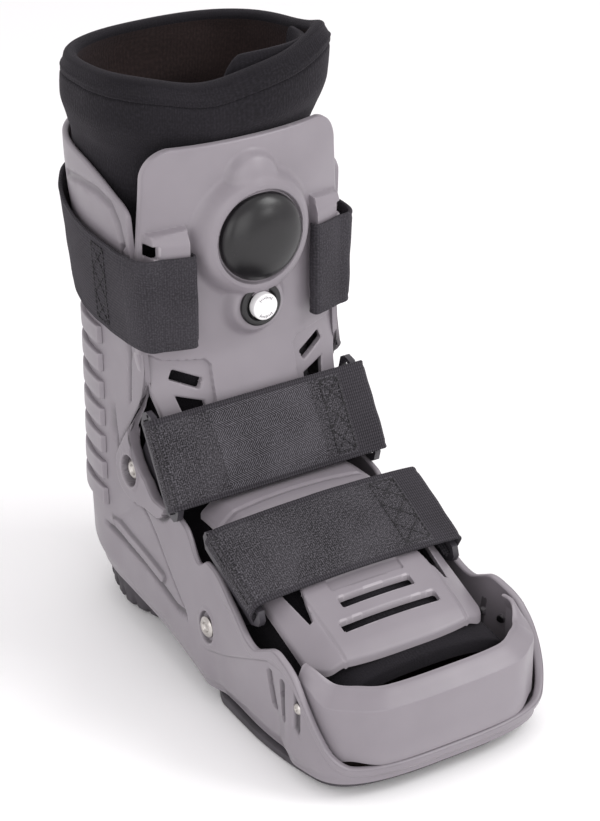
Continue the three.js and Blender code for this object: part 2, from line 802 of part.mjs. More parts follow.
// A flat plate beside the boot, from an outline and holes given across the strap and out from it.
function sidePlate(hold, side, middle, outline, holes) {
  const shape = new THREE.Shape(outline.map(([h, s]) => new THREE.Vector2(h, s)));
  for (const hole of holes) {
    shape.holes.push(new THREE.Path(hole.map(([h, s]) => new THREE.Vector2(h, s))));
  }
  const options = { depth: ringBar, bevelEnabled: false, curveSegments: 1 };
  const geometry = new THREE.ExtrudeGeometry(shape, options);
  const attribute = geometry.getAttribute("position");
  for (let i = 0; i < attribute.count; i += 1) {
    const across = side * (middle + attribute.getZ(i) - ringBar / 2);
    attribute.setXYZ(i, ...holdPoint(hold, across, attribute.getX(i), attribute.getY(i)));
  }
  return solidOf(geometry);
}

// A point beside the boot: across it, along the ring's bar, and out from the strap.
function holdPoint(hold, x, h, s) {
  const y = hold.y + h * hold.along - s * hold.up;
  return [x + lean(hold.y) * 0.5, y, hold.z + h * hold.up + s * hold.along];
}

// A ring: a frame with a slot for the strap, and a bent arm that narrows to the eye that the rivet holds.
function ring(hold, side) {
  const half = strapWidth / 2 + 1;
  const wide = half + ringFrame;
  const dy = hold.rivetY - hold.y;
  const dz = hold.rivetZ - hold.z;
  const eyeH = dy * hold.along + dz * hold.up;
  const eyeS = -dy * hold.up + dz * hold.along;
  const rear = -ringDepth - 2;
  const start = rear - 7;
  const share = (rear - start) / (rear - eyeS - 3);
  const startHalf = mix(wide - 5, ringEye, share);
  const frame = [
    [-wide + 4, 0],
    [-wide, -4],
    [-wide, 3 - ringDepth],
    [-wide + 5, rear],
    [wide - 5, rear],
    [wide, 3 - ringDepth],
    [wide, -4],
    [wide - 4, 0],
  ];
  const low = -ringBar - slotDepth;
  const slot = [[-half, -ringBar], [half, -ringBar], [half, low], [-half, low]];
  const arm = [
    [-startHalf + eyeH * share, start],
    [eyeH - ringEye, eyeS + 3],
    [eyeH - ringEye * 0.6, eyeS - ringEye * 0.75],
    [eyeH, eyeS - ringEye],
    [eyeH + ringEye * 0.6, eyeS - ringEye * 0.75],
    [eyeH + ringEye, eyeS + 3],
    [startHalf + eyeH * share, start],
  ];
  const hole = [];
  for (let i = 0; i < 10; i += 1) {
    const angle = (-i * Math.PI) / 5;
    hole.push([eyeH + (rivetShank + gap) * Math.cos(angle), eyeS + (rivetShank + gap) * Math.sin(angle)]);
  }
  const bend = (u, v, lift) => {
    const s = mix(rear + 1, start - 1, v);
    const h = (2 * u - 1) * (mix(wide - 5.4, startHalf - 0.4, v)) + eyeH * share * v;
    return holdPoint(hold, side * (mix(hold.bar, hold.arm, v) + lift), h, s);
  };
  const link = sheet(
    [0, 1],
    [0, 1],
    (u, v) => bend(u, v, ringBar / 2 - 0.05),
    (u, v) => bend(u, v, 0.05 - ringBar / 2),
  );
  const head = sidePlate(hold, side, hold.bar, frame, [slot]);
  return head.add(link).add(sidePlate(hold, side, hold.arm, arm, [hole]));
}

// A rivet through the shell's wall and the eye of a ring.
function rivet(hold, side) {
  const out = sideHalf(hold.rivetY, hold.rivetZ);
  const base = -0.9 + gap + 0.5;
  const end = hold.arm - ringBar / 2 + 0.5 - out;
  const profile = [
    [0, end],
    [rivetShank, end],
    [rivetShank, base],
    [rivetRadius, base],
    [rivetRadius, base + rivetHeight * 0.5],
    [rivetRadius * 0.7, base + rivetHeight],
    [0, base + rivetHeight],
  ];
  return turned(profile, 12, [side * out, hold.rivetY, hold.rivetZ], [side, 0, 0]);
}

// A screw in the foremost hole beside the toes.
function toeScrew(side) {
  const hole = TOE_HOLES[TOE_HOLES.length - 1];
  const out = sideHalf(hole.y, hole.z);
  const profile = [
    [0, -shellWall + 0.6],
    [toeHole - gap, -shellWall + 0.6],
    [toeHole - gap, 0.9],
    [toeHole + 1, 0.9],
    [toeHole + 0.4, 2.1],
    [0, 2.1],
  ];
  return turned(profile, 10, [side * out + lean(hole.y), hole.y, hole.z], [side, 0, 0]);
}

// The calf strap: from the block on one side of the pump round the back of the shell to the other block.
function calfStrap() {
  const clear = strapThickness / 2 + gap + ribDepth + 0.3;
  const plan = (u, z, lift) => {
    const side = u < 0 ? -1 : 1;
    const s = Math.abs(u);
    if (s <= 1) {
      const turn = mix(1, turnAt(62), s);
      const [x, y] = outlinePoint(turn, z, -clear - lift);
      return [side * x, y];
    }
    const t = s - 1;
    const from = outlinePoint(turnAt(62), z, -clear - lift);
    const endX = panelWidth / 2 - 6 - blockWidth;
    const edge = panelWidth / 2 - 7;
    if (t > 0.4) {
      const x = mix(edge, endX, (t - 0.4) / 0.6);
      const rise = blockRise + strapThickness / 2 + gap + 0.2 + lift;
      return [side * x, panelFace(x, z) - rise];
    }
    const k = t / 0.4;
    const toY = panelFace(edge, z) - blockRise - strapThickness / 2 - gap - 0.2 - lift;
    const bend = Math.sin((k * Math.PI) / 2);
    return [side * mix(edge, from[0], Math.cos((k * Math.PI) / 2) ** 0.5), mix(from[1], toY, bend ** 0.7)];
  };
  const point = (u, v, lift) => {
    const s = Math.abs(u);
    const rise = 17 * ease(1, 0.3, s);
    const z = panelTop - 82 + rise + (v - 0.5) * (strapWidth + 2);
    const [x, y] = plan(u, z, lift);
    return [x, y, z];
  };
  return sheet(
    steps(40).map((k) => mix(-2, 2, k)),
    [0, 0.5, 1],
    (u, v) => point(u, v, strapThickness / 2),
    (u, v) => point(u, v, -strapThickness / 2),
  );
}

const COLOURS = {
  plastic: { color: 0x968f95, roughness: 0.5, metalness: 0 },
  rubber: { color: 0x2a282b, roughness: 0.7, metalness: 0 },
  cloth: { color: 0x221e24, roughness: 0.95, metalness: 0 },
  webbing: { color: 0x3a373b, roughness: 0.9, metalness: 0 },
  bulb: { color: 0x3a383c, roughness: 0.32, metalness: 0 },
  black: { color: 0x1b1a1c, roughness: 0.4, metalness: 0 },
  white: { color: 0xe6e5e6, roughness: 0.4, metalness: 0 },
  steel: { color: 0xb9b8b6, roughness: 0.3, metalness: 1 },
};

function meshOf(name, solid, finish) {
  const made = solid.simplify(fineness).getMesh();
  const geometry = new THREE.BufferGeometry();
  const positions = [];
  for (let i = 0; i < made.numVert; i += 1) {
    for (let k = 0; k < 3; k += 1) positions.push(made.vertProperties[i * made.numProp + k]);
  }
  geometry.setAttribute("position", new THREE.Float32BufferAttribute(positions, 3));
  geometry.setIndex(Array.from(made.triVerts));
  geometry.computeVertexNormals();
  const mesh = new THREE.Mesh(geometry, new THREE.MeshStandardMaterial(COLOURS[finish]));
  mesh.name = name;
  return mesh;
}

const boot = new THREE.Group();
boot.add(meshOf("shell", shell(), "plastic"));
boot.add(meshOf("outsole", outsole(), "rubber"));
boot.add(meshOf("footbed", footbed(), "cloth"));
boot.add(meshOf("toe_cap", toeCap(), "plastic"));
boot.add(meshOf("shin_panel", shinPanel(), "plastic"));
boot.add(meshOf("foot_plate", footPlate(), "plastic"));
boot.add(meshOf("pump_bulb", bulb(), "bulb"));
boot.add(meshOf("valve_body", valveBody(), "black"));
boot.add(meshOf("valve_knob", valveKnob(), "white"));

boot.add(meshOf("liner", liner(), "cloth"));
boot.add(meshOf("calf_strap", calfStrap(), "webbing"));
boot.add(meshOf("ankle_strap", footStrap(HOLDS.ankle), "webbing"));
boot.add(meshOf("foot_strap", footStrap(HOLDS.foot), "webbing"));
for (const [name, hold] of Object.entries(HOLDS)) {
  boot.add(meshOf(name + "_ring_left", ring(hold, 1), "black"));
  boot.add(meshOf(name + "_ring_right", ring(hold, -1), "black"));
  boot.add(meshOf(name + "_rivet_left", rivet(hold, 1), "steel"));
  boot.add(meshOf(name + "_rivet_right", rivet(hold, -1), "steel"));
}
boot.add(meshOf("toe_screw_left", toeScrew(1), "steel"));
boot.add(meshOf("toe_screw_right", toeScrew(-1), "steel"));

const bounds = new THREE.Box3().setFromObject(boot, true);
const middle = bounds.getCenter(new THREE.Vector3());
boot.position.set(-middle.x, -middle.y, -bounds.min.z);
boot.updateMatrixWorld(true);

export default boot;
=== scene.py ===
"""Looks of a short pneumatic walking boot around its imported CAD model.

Shapes are worked out in millimetres in the design frame of the part: x to the wearer's left, y from the
toe to the heel, z up from the floor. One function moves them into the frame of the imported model.
"""

import logging
import math
from dataclasses import dataclass
from enum import Enum
from typing import Callable, Optional, Sequence

import bmesh
import bpy
import numpy as np
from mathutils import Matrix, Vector


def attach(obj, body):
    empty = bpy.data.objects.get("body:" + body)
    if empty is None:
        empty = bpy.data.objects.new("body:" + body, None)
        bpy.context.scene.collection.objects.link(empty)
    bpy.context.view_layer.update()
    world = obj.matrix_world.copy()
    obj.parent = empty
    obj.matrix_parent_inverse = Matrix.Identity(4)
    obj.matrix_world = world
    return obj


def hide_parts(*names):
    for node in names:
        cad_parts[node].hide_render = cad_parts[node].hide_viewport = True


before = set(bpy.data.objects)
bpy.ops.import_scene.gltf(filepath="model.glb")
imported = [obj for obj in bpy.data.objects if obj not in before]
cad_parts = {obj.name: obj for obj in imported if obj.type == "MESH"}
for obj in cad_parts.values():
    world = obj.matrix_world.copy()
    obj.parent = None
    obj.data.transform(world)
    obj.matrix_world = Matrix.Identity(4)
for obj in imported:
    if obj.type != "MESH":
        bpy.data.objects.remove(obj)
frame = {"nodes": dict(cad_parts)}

LOG = logging.getLogger("walking_boot")
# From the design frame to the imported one, whose origin lies under the middle of the part, in millimetres.
SHIFT = np.array([-4.788917541503906, -6.751014709472656, 0.0])
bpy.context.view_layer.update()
Array = np.ndarray
Surface = Callable[[Array, Array], Array]
Path = Sequence[tuple[float, float]]
SIDES = ((1, "left"), (-1, "right"))


def to_frame(points: Array) -> Array:
    """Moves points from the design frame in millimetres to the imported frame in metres."""
    return (np.asarray(points, dtype=float) + SHIFT) / 1000.0


def mix(a: Array, b: Array, t: Array) -> Array:
    """Straight blend from a to b."""
    return a + (b - a) * t


def ease(start: float, end: float, value: Array) -> Array:
    """Smooth step from 0 at start to 1 at end, which may be the lower of the two."""
    t = np.clip((np.asarray(value, dtype=float) - start) / (end - start), 0.0, 1.0)
    return t * t * (3 - 2 * t)


def smooth_table(xs: Sequence[float], ys: Sequence[float], at: Array) -> Array:
    """Reads a table with a smooth curve that doesn't overshoot its rows.

    Args:
        xs: Rising places of the rows.
        ys: Values of the rows.
        at: Places to read.

    Returns:
        The values at those places.
    """
    x = np.asarray(xs, dtype=float)
    y = np.asarray(ys, dtype=float)
    step = np.diff(x)
    rise = np.diff(y) / step
    slope = np.zeros_like(y)
    both = rise[:-1] * rise[1:] > 0
    slope[1:-1][both] = 2 * rise[:-1][both] * rise[1:][both] / (rise[:-1] + rise[1:])[both]
    slope[0], slope[-1] = rise[0], rise[-1]
    v = np.clip(np.asarray(at, dtype=float), x[0], x[-1])
    i = np.clip(np.searchsorted(x, v, side="right") - 1, 0, len(x) - 2)
    t = (v - x[i]) / step[i]
    h = step[i]
    return (
        (2 * t**3 - 3 * t**2 + 1) * y[i]
        + (t**3 - 2 * t**2 + t) * h * slope[i]
        + (3 * t**2 - 2 * t**3) * y[i + 1]
        + (t**3 - t**2) * h * slope[i + 1]
    )


def path_distance(a: Array, b: Array, path: Path) -> Array:
    """Distance in a plane from points (a, b) to an open path.

    Args:
        a: First coordinate of the points.
        b: Second coordinate of the points.
        path: Corners of the path.

    Returns:
        The distances.
    """
    best = np.full(np.shape(a), 1e9)
    for (x0, y0), (x1, y1) in zip(path[:-1], path[1:]):
        dx, dy = x1 - x0, y1 - y0
        t = np.clip(((a - x0) * dx + (b - y0) * dy) / (dx * dx + dy * dy + 1e-12), 0, 1)
        best = np.minimum(best, np.hypot(a - x0 - t * dx, b - y0 - t * dy))
    return best


def region(a: Array, b: Array, outline: Path) -> Array:
    """Signed distance in a plane to a closed outline, negative inside it.

    Args:
        a: First coordinate of the points.
        b: Second coordinate of the points.
        outline: Corners of the outline.

    Returns:
        The signed distances.
    """
    closed = list(outline) + [outline[0]]
    inside = np.zeros(np.shape(a), dtype=bool)
    for (x0, y0), (x1, y1) in zip(closed[:-1], closed[1:]):
        crosses = (y0 > b) != (y1 > b)
        edge = x0 + (b - y0) * (x1 - x0) / (y1 - y0 if y1 != y0 else 1e-12)
        inside ^= crosses & (a < edge)
    return np.where(inside, -1.0, 1.0) * path_distance(a, b, closed)


def soften(outline: Path, rounds: int = 3) -> list[tuple[float, float]]:
    """Rounds a closed outline by cutting its corners a few times.

    Args:
        outline: Corners of the outline.
        rounds: How often its corners are cut.

    Returns:
        The rounder outline.
    """
    spots = np.array(outline, dtype=float)
    for _ in range(rounds):
        after = np.roll(spots, -1, axis=0)
        spots = np.stack([mix(spots, after, 0.25), mix(spots, after, 0.75)], axis=1).reshape(-1, 2)
    return [tuple(spot) for spot in spots]


def slab(
    a: Array, b: Array, middle: tuple[float, float], half: tuple[float, float], turn: float, corner: float
) -> Array:
    """Signed distance to a rounded rectangle turned in its plane.

    Args:
        a: First coordinate of the points.
        b: Second coordinate of the points.
        middle: Middle of the rectangle.
        half: Its half-sizes.
        turn: Its turn in radians.
        corner: Radius of its corners.

    Returns:
        The signed distances, negative inside.
    """
    c, s = math.cos(turn), math.sin(turn)
    u = (a - middle[0]) * c + (b - middle[1]) * s
    v = -(a - middle[0]) * s + (b - middle[1]) * c
    du = np.abs(u) - half[0] + corner
    dv = np.abs(v) - half[1] + corner
    return np.hypot(np.maximum(du, 0), np.maximum(dv, 0)) + np.minimum(np.maximum(du, dv), 0) - corner


def squared(value: Array, power: float) -> Array:
    """Signed power of a sine or cosine, which squares off a round section when it is under 1."""
    return np.sign(value) * np.abs(value) ** power


def waves(points: Array, size: float, seed: int) -> Array:
    """Soft seeded waves over points in space, about -1 to 1, with folds of about the given size in mm.

    Args:
        points: A row of x, y and z for each point.
        size: Width of a fold in millimetres.
        seed: Seed of the waves.

    Returns:
        A height for each point.
    """
    rng = np.random.default_rng(seed)
    total = np.zeros(len(points))
    for _ in range(7):
        direction = rng.normal(size=3)
        direction /= np.linalg.norm(direction)
        length = size * rng.uniform(0.7, 1.6)
        total += np.sin(points @ direction * 2 * math.pi / length + rng.uniform(0, 6.28))
    return total / 7**0.5 / 1.4


# Finishes


def srgb(hex_colour: str) -> tuple[float, float, float, float]:
    """Linear colour from an sRGB hex value such as #958F95.

    Args:
        hex_colour: The sRGB value.

    Returns:
        Linear red, green, blue and alpha.
    """
    parts = [int(hex_colour[i : i + 2], 16) / 255 for i in (1, 3, 5)]
    linear = [c / 12.92 if c <= 0.04045 else ((c + 0.055) / 1.055) ** 2.4 for c in parts]
    return (linear[0], linear[1], linear[2], 1.0)


def add_node(
    tree: bpy.types.NodeTree, kind: str, inputs: Optional[dict] = None, **settings: object
) -> bpy.types.Node:
    """Adds a node.

    Args:
        tree: The node tree of a material.
        kind: The node's type name without its ShaderNode prefix.
        inputs: A value or an output socket for each input, by name or number.
        **settings: Properties of the node.

    Returns:
        The node.
    """
    made = tree.nodes.new("ShaderNode" + kind)
    for key, value in settings.items():
        setattr(made, key, value)
    for key, value in (inputs or {}).items():
        if isinstance(value, bpy.types.NodeSocket):
            tree.links.new(value, made.inputs[key])
        else:
            made.inputs[key].default_value = value
    return made


class Weave(Enum):
    """How a webbing or cloth is made."""

    LOOP = "loop pile"
    HERRINGBONE = "herringbone"
    PLAIN = "plain"


@dataclass(frozen=True)
class Finish:
    """A material: its real make, its colour and its gloss.

    colour and second are sRGB hex values of the base and of its slow variation.
    """

    name: str
    colour: str
    second: str
    roughness: float

    def start(self) -> tuple[bpy.types.Material, bpy.types.NodeTree, bpy.types.Node]:
        """Makes the material with its shader and the constants that every finish has.

        Returns:
            The material, its node tree and its shader.
        """
        made = bpy.data.materials.new(self.name)
        made.use_nodes = True
        tree = made.node_tree
        shader = tree.nodes["Principled BSDF"]
        shader.inputs["Roughness"].default_value = self.roughness
        return made, tree, shader

    def shade(
        self, tree: bpy.types.NodeTree, where: bpy.types.NodeSocket, size: float, amount: float
    ) -> bpy.types.NodeSocket:
        """Slow change between the two colours over patches of size metres.

        Args:
            tree: The node tree.
            where: Coordinates in metres.
            size: Width of a patch.
            amount: Share of the second colour, 0 to 1.

        Returns:
            The colour.
        """
        noise = add_node(tree, "TexNoise", {"Vector": where, "Scale": 1 / size, "Detail": 3.0})
        spread = add_node(tree, "MapRange", {0: noise.outputs["Fac"], 1: 0.35, 2: 0.65, 3: 0.0, 4: amount})
        blend = add_node(
            tree,
            "Mix",
            {0: spread.outputs[0], 6: srgb(self.colour), 7: srgb(self.second)},
            data_type="RGBA",
        )
        return blend.outputs[2]


@dataclass(frozen=True)
class MouldedPlastic(Finish):
    """Injection-moulded plastic with a spark-eroded matt grain, 0.25 mm, drawn at 0.5 mm so that it shows."""

    grain: float = 0.0005
    grain_depth: float = 0.05
    # Colour of the painted highlight on sharp rims.
    edge: str = "#B4AFB3"

    def build(self) -> bpy.types.Material:
        """The material, with a painted highlight along sharp rims and painted shade where a vertex attribute
        marks grooves and holes.

        Returns:
            The material.
        """
        made, tree, shader = self.start()
        where = add_node(tree, "TexCoord").outputs["Object"]
        base = self.shade(tree, where, 0.05, 1.0)
        # Painted highlight: sharp rims are mixed towards the light rim colour, as if they caught the light.
        point = add_node(tree, "NewGeometry").outputs["Pointiness"]
        rim_highlight_share = add_node(tree, "MapRange", {0: point, 1: 0.52, 2: 0.62, 3: 0.0, 4: 0.45})
        rim_highlighted = add_node(tree, "Mix", {0: rim_highlight_share.outputs[0], 6: base, 7: srgb(self.edge)}, data_type="RGBA")
        # Painted shade: the vertex attribute darkens grooves, holes and rivet seats towards near black.
        painted_shade = add_node(tree, "Attribute", attribute_name="painted_shade").outputs["Fac"]
        dark = add_node(tree, "Mix", {0: painted_shade, 6: rim_highlighted.outputs[2], 7: srgb("#141215")}, data_type="RGBA")
        tree.links.new(dark.outputs[2], shader.inputs["Base Color"])
        grain = add_node(tree, "TexNoise", {"Vector": where, "Scale": 1 / self.grain, "Detail": 2.0})
        slow = add_node(tree, "TexNoise", {"Vector": where, "Scale": 45.0, "Detail": 4.0})
        rough = add_node(
            tree, "MapRange",
            {0: slow.outputs["Fac"], 1: 0.3, 2: 0.7, 3: self.roughness - 0.05, 4: self.roughness + 0.06},
        )
        tree.links.new(rough.outputs[0], shader.inputs["Roughness"])
        bump = add_node(
            tree, "Bump", {"Height": grain.outputs["Fac"], "Strength": self.grain_depth, "Distance": 0.0004}
        )
        tree.links.new(bump.outputs["Normal"], shader.inputs["Normal"])
        return made


@dataclass(frozen=True)
class MattSkin(Finish):
    """A dusty skin with fine pores of 0.6 mm, as on moulded rubber, dipped PVC, thread and print."""

    pore: float = 0.0006
    depth: float = 0.12

    def build(self) -> bpy.types.Material:
        """The material, with a slow mottle in its gloss.

        Returns:
            The material.
        """
        made, tree, shader = self.start()
        where = add_node(tree, "TexCoord").outputs["Object"]
        tree.links.new(self.shade(tree, where, 0.018, 1.0), shader.inputs["Base Color"])
        mottle = add_node(tree, "TexNoise", {"Vector": where, "Scale": 70.0, "Detail": 5.0})
        rough = add_node(
            tree, "MapRange",
            {0: mottle.outputs["Fac"], 1: 0.3, 2: 0.7, 3: self.roughness - 0.04, 4: self.roughness + 0.08},
        )
        tree.links.new(rough.outputs[0], shader.inputs["Roughness"])
        pores = add_node(tree, "TexNoise", {"Vector": where, "Scale": 1 / self.pore, "Detail": 2.0})
        bump = add_node(
            tree, "Bump", {"Height": pores.outputs["Fac"], "Strength": self.depth, "Distance": 0.0003}
        )
        tree.links.new(bump.outputs["Normal"], shader.inputs["Normal"])
        return made


@dataclass(frozen=True)
class PlatedSteel(Finish):
    """Nickel-plated steel, drawn and tumbled, with a soft bright shine."""

    def build(self) -> bpy.types.Material:
        """The material, with small tumbling marks in its gloss.

        Returns:
            The material.
        """
        made, tree, shader = self.start()
        shader.inputs["Metallic"].default_value = 1.0
        where = add_node(tree, "TexCoord").outputs["Object"]
        tree.links.new(self.shade(tree, where, 0.004, 1.0), shader.inputs["Base Color"])
        marks = add_node(tree, "TexNoise", {"Vector": where, "Scale": 1500.0, "Detail": 2.0})
        bump = add_node(tree, "Bump", {"Height": marks.outputs["Fac"], "Strength": 0.08, "Distance": 0.0002})
        tree.links.new(bump.outputs["Normal"], shader.inputs["Normal"])
        return made


@dataclass(frozen=True)
class Cloth(Finish):
    """Nylon cloth or webbing: yarns on a bump from the piece's own UV map, in metres, under a soft sheen.

    The yarns are 0.5 to 0.7 mm on the real one and are drawn at pitch so that they show.
    """

    weave: Weave = Weave.LOOP
    pitch: float = 0.0011
    depth: float = 0.5
    sheen: float = 0.25
    fleck: float = 0.35

    def yarns(self, tree: bpy.types.NodeTree, uv: bpy.types.NodeSocket) -> bpy.types.NodeSocket:
        """Height of the yarns, 0 to 1, for the weave.

        Args:
            tree: The node tree.
            uv: The cloth's coordinates in metres.

        Returns:
            The height.
        """
        split = add_node(tree, "SeparateXYZ", {0: uv})
        turn = 2 * math.pi / self.pitch
        along, across = split.outputs[0], split.outputs[1]
        if self.weave is Weave.HERRINGBONE:
            fold = add_node(tree, "Math", {0: across, 1: self.pitch * 3.2}, operation="PINGPONG")
            across = fold.outputs[0]
        sway = {Weave.HERRINGBONE: 1.0, Weave.PLAIN: 0.0, Weave.LOOP: 0.0}[self.weave]
        lean = add_node(tree, "Math", {0: across, 1: sway, 2: along}, operation="MULTIPLY_ADD")
        first = add_node(tree, "Math", {0: lean.outputs[0], 1: turn}, operation="MULTIPLY")
        ridge = add_node(tree, "Math", {0: first.outputs[0]}, operation="SINE")
        second = add_node(tree, "Math", {0: split.outputs[1], 1: turn * 0.8}, operation="MULTIPLY")
        cross = add_node(tree, "Math", {0: second.outputs[0]}, operation="SINE")
        weight = {Weave.HERRINGBONE: 0.15, Weave.PLAIN: 0.55, Weave.LOOP: 0.3}[self.weave]
        both = add_node(
            tree, "Math", {0: cross.outputs[0], 1: weight, 2: ridge.outputs[0]}, operation="MULTIPLY_ADD"
        )
        return add_node(tree, "MapRange", {0: both.outputs[0], 1: -1.3, 2: 1.3}).outputs[0]

    def build(self) -> bpy.types.Material:
        """The material.

        Returns:
            The material.
        """
        made, tree, shader = self.start()
        shader.inputs["Sheen Weight"].default_value = self.sheen
        shader.inputs["Sheen Roughness"].default_value = 0.55
        shader.inputs["Sheen Tint"].default_value = srgb("#B9B2BC")
        shader.inputs["Specular IOR Level"].default_value = 0.25
        uv = add_node(tree, "UVMap", uv_map="cloth").outputs["UV"]
        yarn = self.yarns(tree, uv)
        loops = add_node(tree, "TexNoise", {"Vector": uv, "Scale": 1 / (self.pitch * 0.8), "Detail": 3.0})
        fuzz = add_node(tree, "MapRange", {0: loops.outputs["Fac"], 1: 0.3, 2: 0.72})
        share = {Weave.HERRINGBONE: 0.35, Weave.PLAIN: 0.3, Weave.LOOP: 0.75}[self.weave]
        height = add_node(tree, "Mix", {0: share, 2: yarn, 3: fuzz.outputs[0]})
        ramp = add_node(tree, "MapRange", {0: height.outputs[0], 1: 0.35, 2: 0.95, 3: 0.0, 4: self.fleck})
        slow = self.shade(tree, uv, 0.03, 0.15)
        colour = add_node(tree, "Mix", {0: ramp.outputs[0], 6: slow, 7: srgb(self.second)}, data_type="RGBA")
        tree.links.new(colour.outputs[2], shader.inputs["Base Color"])
        bump = add_node(
            tree, "Bump", {"Height": height.outputs[0], "Strength": self.depth, "Distance": 0.0006}
        )
        tree.links.new(bump.outputs["Normal"], shader.inputs["Normal"])
        return made


# Polypropylene shell and plates: warm grey, matt, with a painted highlight on the rims.
GREY = MouldedPlastic("Moulded polypropylene, warm grey", "#807A80", "#878187", 0.4, edge="#B0AAAF")
# Glass-filled nylon levers: near black with a low shine and a painted highlight on the rims.
NYLON = MouldedPlastic("Moulded nylon, black", "#29272B", "#2F2D31", 0.38, edge="#4A474D")
# ABS valve body: black, smoother than the levers, with a painted highlight on the rims.
ABS_BLACK = MouldedPlastic("Moulded ABS, black", "#121113", "#171618", 0.3, grain_depth=0.02, edge="#2A282B")
# ABS valve knob: white with a soft gloss and a painted highlight on the rims.
ABS_WHITE = MouldedPlastic("Moulded ABS, white", "#EEEDEE", "#E9E7E8", 0.32, grain_depth=0.02, edge="#F5F4F5")
# PVC bulb: dark, dipped smooth, with a broad soft highlight.
BULB = MattSkin("Dipped PVC, dark grey", "#0B0A0C", "#121013", 0.3, depth=0.04)
# Sole rubber: dark, dusty and dull.
SOLE = MattSkin("Moulded sole rubber", "#3A373B", "#464247", 0.72)
# Rivets and screws: nickel plate with a soft bright shine.
STEEL = PlatedSteel("Nickel-plated steel", "#C4C0BC", "#AFAAA5", 0.28)
# Liner face: brushed nylon loop cloth laminated to foam, near black.
LOOP = Cloth(
    "Brushed nylon loop laminate", "#100E12", "#29262C", 0.95, pitch=0.0014, depth=0.45, sheen=0.1, fleck=0.6
)
# Liner inside: knitted polyester, brown black.
KNIT = Cloth(
    "Knitted polyester lining", "#221918", "#3A2D2B", 0.95, pitch=0.0018, depth=0.5, sheen=0.1, fleck=0.5
)
# Strap faces: woven nylon, charcoal.
STRAP_LOOP = Cloth(
    "Nylon loop webbing", "#121114", "#6C696F", 0.85, pitch=0.0011, depth=1.0, sheen=0.06, fleck=0.9
)
STRAP_TWILL = Cloth(
    "Nylon herringbone webbing", "#121113", "#76737A", 0.8, weave=Weave.HERRINGBONE, pitch=0.0015, depth=1.0,
    sheen=0.06, fleck=0.9,
)
STRAP_PLAIN = Cloth(
    "Nylon plain webbing", "#201E22", "#4D4A50", 0.85, weave=Weave.PLAIN, pitch=0.0014, depth=0.8, sheen=0.08,
    fleck=0.7,
)
# Calf strap ends: brushed webbing, flatter than the foot straps.
STRAP_SOFT = Cloth(
    "Nylon brushed webbing", "#262428", "#514E54", 0.85, pitch=0.0013, depth=0.6, sheen=0.08, fleck=0.55
)
# Sewing thread: bonded polyester, darker than the webbing.
THREAD = MattSkin("Bonded polyester thread", "#171518", "#201E22", 0.6)
# Print on the knob: grey ink.
INK = MattSkin("Pad-printed ink, grey", "#3C3A3D", "#454347", 0.5, depth=0.0)

MATERIALS: dict[str, bpy.types.Material] = {}


def material(finish: Finish) -> bpy.types.Material:
    """The one material of a finish, made when it is first asked for."""
    if finish.name not in MATERIALS:
        MATERIALS[finish.name] = finish.build()
    return MATERIALS[finish.name]


# Mesh tools


def grid(bm: bmesh.types.BMesh, us: Array, vs: Array) -> list[bmesh.types.BMVert]:
    """Adds a grid whose vertices hold u in x and v in y, at the given rows of u and v.

    Args:
        bm: The mesh.
        us: Values of u for the columns.
        vs: Values of v for the rows.

    Returns:
        The new vertices.
    """
    made = bmesh.ops.create_grid(bm, x_segments=len(us) - 1, y_segments=len(vs) - 1, size=0.5)["verts"]
    for vert in made:
        vert.co.x = us[round((vert.co.x + 0.5) * (len(us) - 1))]
        vert.co.y = vs[round((vert.co.y + 0.5) * (len(vs) - 1))]
    return made


def refine(bm: bmesh.types.BMesh, near: Callable[[Array, Array], Array], cuts: int = 2) -> None:
    """Subdivides the edges of a u and v grid where near says so.

    Args:
        bm: The grid.
        near: Gives for arrays of u and v whether a detail is near.
        cuts: New vertices on each edge.
    """
    bm.verts.index_update()
    close = near(*places(bm.verts))
    edges = [e for e in bm.edges if close[e.verts[0].index] and close[e.verts[1].index]]
    if edges:
        bmesh.ops.subdivide_edges(bm, edges=edges, cuts=cuts, use_grid_fill=True)


def place_grid(
    bm: bmesh.types.BMesh, verts: Sequence[bmesh.types.BMVert], surface: Surface, uv: Optional[Surface] = None
) -> None:
    """Moves the vertices of a u and v grid onto a surface.

    Args:
        bm: The mesh.
        verts: The grid's vertices.
        surface: Points in the design frame for arrays of u and v.
        uv: The cloth's own coordinates in millimetres for arrays of u and v.
    """
    verts = list(verts)
    u, v = places(verts)
    if uv is not None:
        layer = bm.loops.layers.uv.get("cloth") or bm.loops.layers.uv.new("cloth")
        flat = uv(u, v) / 1000.0
        for vert, (a, b) in zip(verts, flat):
            for loop in vert.link_loops:
                loop[layer].uv = (a, b)
    for vert, point in zip(verts, to_frame(surface(u, v))):
        vert.co = point


def numbers(rows: Sequence) -> Array:
    """The numbers of the rows of a table, from 0."""
    return np.arange(len(rows), dtype=float)


def places(verts: Sequence[bmesh.types.BMVert]) -> tuple[Array, Array]:
    """u and v of the vertices of a grid that hasn't been placed."""
    pairs = np.array([vert.co[:2] for vert in verts])
    return pairs[:, 0], pairs[:, 1]


def turn_out(bm: bmesh.types.BMesh) -> None:
    """Turns the faces outwards."""
    bmesh.ops.recalc_face_normals(bm, faces=bm.faces[:])


def weld(bm: bmesh.types.BMesh, distance: float = 1e-6) -> None:
    """Closes seams and poles and turns the faces outwards.

    Args:
        bm: The mesh.
        distance: How near two vertices are to be joined, in metres.
    """
    bmesh.ops.remove_doubles(bm, verts=bm.verts[:], dist=distance)
    bmesh.ops.dissolve_degenerate(bm, edges=bm.edges[:], dist=1e-7)
    turn_out(bm)


